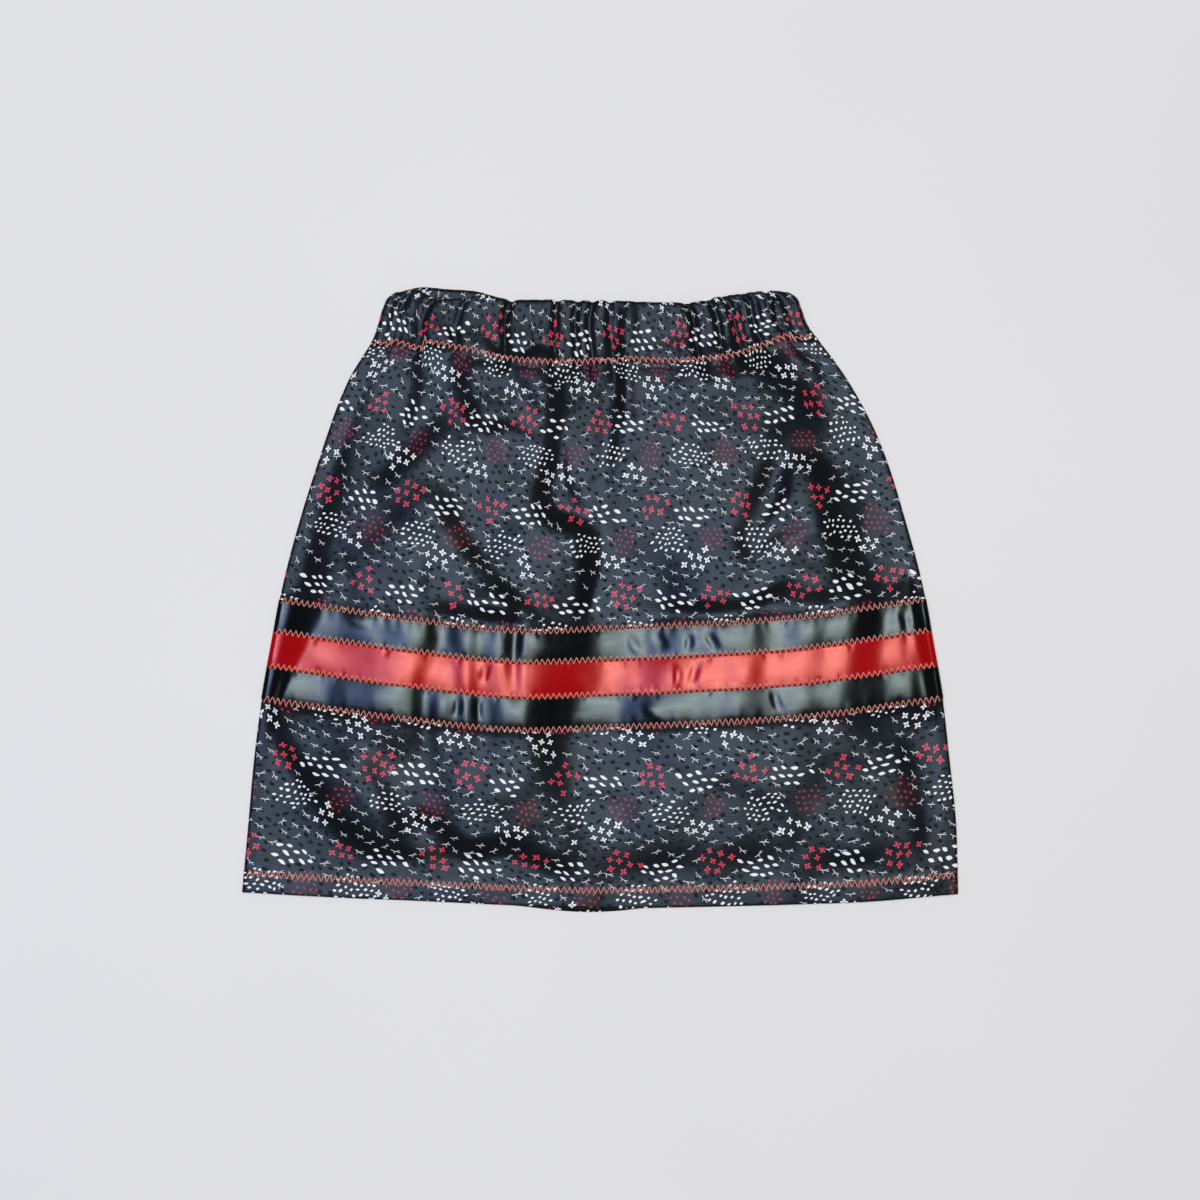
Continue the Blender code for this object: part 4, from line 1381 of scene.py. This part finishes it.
def surface_under(scene, front, q, level):
    """The outer face at each place: the cloth, or the ribbon that lies on it there."""
    side_form = form(front, scene)
    points = side_form.place(q, level)
    ribbon = scene.skirt_ribbon
    for place in RIBBON_PLACES:
        top, foot = ribbon_edges(place, ribbon)
        share = (level - top) / (foot - top)
        on_it = (share >= 0) & (share <= 1)
        raised = ribbon_points(scene, front, place, q, np.clip(share, 0, 1))
        raised[..., 2] += side_form.up * ribbon.thickness / MM
        points[on_it] = raised[on_it]
    return points


def make_zigzag(scene, front, zigzag):
    """One line of zigzag stitching, as a thread that dips into each needle hole."""
    thread = scene.skirt_thread
    side_form = form(front, scene)
    ends = side_form.place(np.array([0.0, 1.0]), np.full(2, zigzag.level))
    length = abs(ends[1, 0] - ends[0, 0])
    count = 2 * round(length / (thread.stitch / MM))
    holes = np.arange(count + 1)
    rng = np.random.default_rng(int(zigzag.level * 100) + front)
    stray = rng.normal(0, HOLE_STRAY, count + 1)
    amplitude = thread.width / MM * zigzag.width / 2
    hole_level = below_line(zigzag.level, zigzag.below + (-1.0) ** holes * amplitude + stray)
    hole_q = (holes + rng.normal(0, STITCH_STRAY, count + 1)) / count
    share, height = (np.array(column) for column in zip(*STITCH))
    q, level = (
        (at_holes[:-1, None] + np.diff(at_holes)[:, None] * share).ravel()
        for at_holes in (hole_q, hole_level)
    )
    points = surface_under(scene, front, np.clip(q, 0, 1), level)
    points[:, 2] += side_form.up * np.tile(height, count) * thread.radius / MM
    thread_object(f"zigzag_{zigzag.name}_{SIDE_NAMES[front]}", points * MM, thread.radius)


def thread_object(name, points, radius):
    """A thread along points, made a mesh."""
    curve = bpy.data.curves.new(name, "CURVE")
    curve.dimensions = "3D"
    curve.bevel_depth = radius
    curve.bevel_resolution = 1
    curve.use_fill_caps = True
    spline = curve.splines.new("POLY")
    spline.points.add(len(points) - 1)
    spline.points.foreach_set("co", np.column_stack([points, np.ones(len(points))]).ravel())
    thread = bpy.data.objects.new(name, curve)
    bpy.context.scene.collection.objects.link(thread)
    clear_selection()
    thread.select_set(True)
    bpy.context.view_layer.objects.active = thread
    bpy.ops.object.convert(target="MESH")
    thread = bpy.context.active_object
    thread.name = thread.data.name = name
    thread.data.materials.clear()
    thread.data.materials.append(bpy.data.materials["sewing_thread"])
    bpy.ops.object.shade_smooth()
    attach(thread, BODY)


# -----------------------------------------------------------------------------
# Stage
# -----------------------------------------------------------------------------

FLOOR_SIZE = 12.0
SKY_COLOUR = (0.9, 0.93, 1.0, 1)
# The lights, which point straight down: where they are, their sizes, and their colour.
LIGHT_HEIGHT = 3.4
Light = namedtuple("Light", "name x y size colour")
SOFTBOX = Light("softbox", -0.03, 0.14, (1.04, 1.1), (1.0, 0.985, 0.93))
WINDOW = Light("window", -0.81, 0.0, (0.5, 0.75), (0.32, 0.42, 1.0))


def make_floor(stage):
    """A plain pale floor."""
    clear_selection()
    bpy.ops.mesh.primitive_plane_add(size=FLOOR_SIZE)
    floor = bpy.context.active_object
    floor.name = floor.data.name = "floor"
    g = Graph("pale_floor", Roughness=0.9, Specular_IOR_Level=0.2)
    grain = g.noise(g.node("ShaderNodeTexCoord", output="Object"), 3.0, 3.0)
    g.set("Base Color", g.mix(grain.above(0.3, 0.7), stage.floor, shaded(stage.floor, 0.985)))
    floor.data.materials.append(g.material)


def area_light(light, power):
    """A soft rectangular light that points straight down."""
    place = (light.x, light.y, LIGHT_HEIGHT)
    bpy.ops.object.light_add(type="AREA", location=place, rotation=(0, 0, 0))
    made = bpy.context.active_object
    made.name = light.name
    made.data.shape = "RECTANGLE"
    made.data.size, made.data.size_y = light.size
    made.data.energy = power
    made.data.color = light.colour


# -----------------------------------------------------------------------------
# Operators, panel and registration
# -----------------------------------------------------------------------------


class SKIRT_OT_cloth(Operator):
    """Make the back and front of the skirt in printed cotton"""

    bl_idname = "skirt.cloth"
    bl_label = "Cloth"

    def execute(self, context):
        scene = context.scene
        printed_cotton(scene.skirt_cloth)
        wrong_side(scene.skirt_cloth)
        for front in (False, True):
            make_cloth(scene, front)
        return {"FINISHED"}


class SKIRT_OT_ribbons(Operator):
    """Lay the three satin ribbons on the back and on the front"""

    bl_idname = "skirt.ribbons"
    bl_label = "Ribbons"

    def execute(self, context):
        scene = context.scene
        ribbon = scene.skirt_ribbon
        satin("charcoal_satin", ribbon.charcoal, ribbon.charcoal_sheen, 0.27, RIBBON_WIDTH)
        red_width = RIBBON_WIDTH + 2 * ribbon.overlap / MM
        satin("red_satin", ribbon.red, ribbon.red_sheen, 0.56, red_width)
        for front in (False, True):
            for place in RIBBON_PLACES:
                make_ribbon(scene, front, place)
        return {"FINISHED"}


class SKIRT_OT_stitching(Operator):
    """Sew the zigzag lines of the casing, the ribbons and the hem"""

    bl_idname = "skirt.stitching"
    bl_label = "Stitching"

    def execute(self, context):
        scene = context.scene
        sewing_thread(scene.skirt_thread)
        for front in (False, True):
            for zigzag in ZIGZAGS:
                make_zigzag(scene, front, zigzag)
        return {"FINISHED"}


class SKIRT_OT_stage(Operator):
    """Set up the floor, the lights and the camera straight above the skirt"""

    bl_idname = "skirt.stage"
    bl_label = "Stage"

    def execute(self, context):
        stage = context.scene.skirt_stage
        make_floor(stage)
        area_light(SOFTBOX, stage.softbox_power)
        area_light(WINDOW, stage.window_power)
        world = bpy.data.worlds.new("studio")
        world.use_nodes = True
        background = world.node_tree.nodes["Background"]
        background.inputs["Color"].default_value = SKY_COLOUR
        background.inputs["Strength"].default_value = stage.sky
        context.scene.world = world
        context.scene.view_settings.view_transform = "Standard"
        bpy.ops.object.camera_add(location=(0, 0, stage.camera_height), rotation=(0, 0, 0))
        camera = bpy.context.active_object
        camera.name = "camera"
        camera.data.lens = stage.lens
        context.scene.camera = camera
        return {"FINISHED"}


class SKIRT_PT_panel(Panel):
    """Lists the skirt's pieces and their settings"""

    bl_label = "Ribbon Skirt"
    bl_idname = "SKIRT_PT_panel"
    bl_space_type = "VIEW_3D"
    bl_region_type = "UI"
    bl_category = "Ribbon Skirt"

    def draw(self, context):
        for operator, group in STEPS:
            box = self.layout.box()
            box.operator(operator.bl_idname)
            settings = getattr(context.scene, group)
            for name in settings.bl_rna.properties.keys():
                if name not in ("rna_type", "name"):
                    box.prop(settings, name)


STEPS = [
    (SKIRT_OT_cloth, "skirt_cloth"),
    (SKIRT_OT_ribbons, "skirt_ribbon"),
    (SKIRT_OT_stitching, "skirt_thread"),
    (SKIRT_OT_stage, "skirt_stage"),
]
GROUPS = {
    "skirt_cloth": SKIRT_PG_cloth,
    "skirt_ribbon": SKIRT_PG_ribbon,
    "skirt_thread": SKIRT_PG_thread,
    "skirt_stage": SKIRT_PG_stage,
}
CLASSES = [*GROUPS.values(), *[operator for operator, _ in STEPS], SKIRT_PT_panel]


def register():
    for item in CLASSES:
        bpy.utils.register_class(item)
    for name, group in GROUPS.items():
        setattr(bpy.types.Scene, name, PointerProperty(type=group))


def unregister():
    for name in GROUPS:
        delattr(bpy.types.Scene, name)
    for item in reversed(CLASSES):
        bpy.utils.unregister_class(item)


def main():
    register()
    bpy.ops.skirt.cloth()
    bpy.ops.skirt.ribbons()
    bpy.ops.skirt.stitching()
    bpy.ops.skirt.stage()


if __name__ == "__main__":
    main()
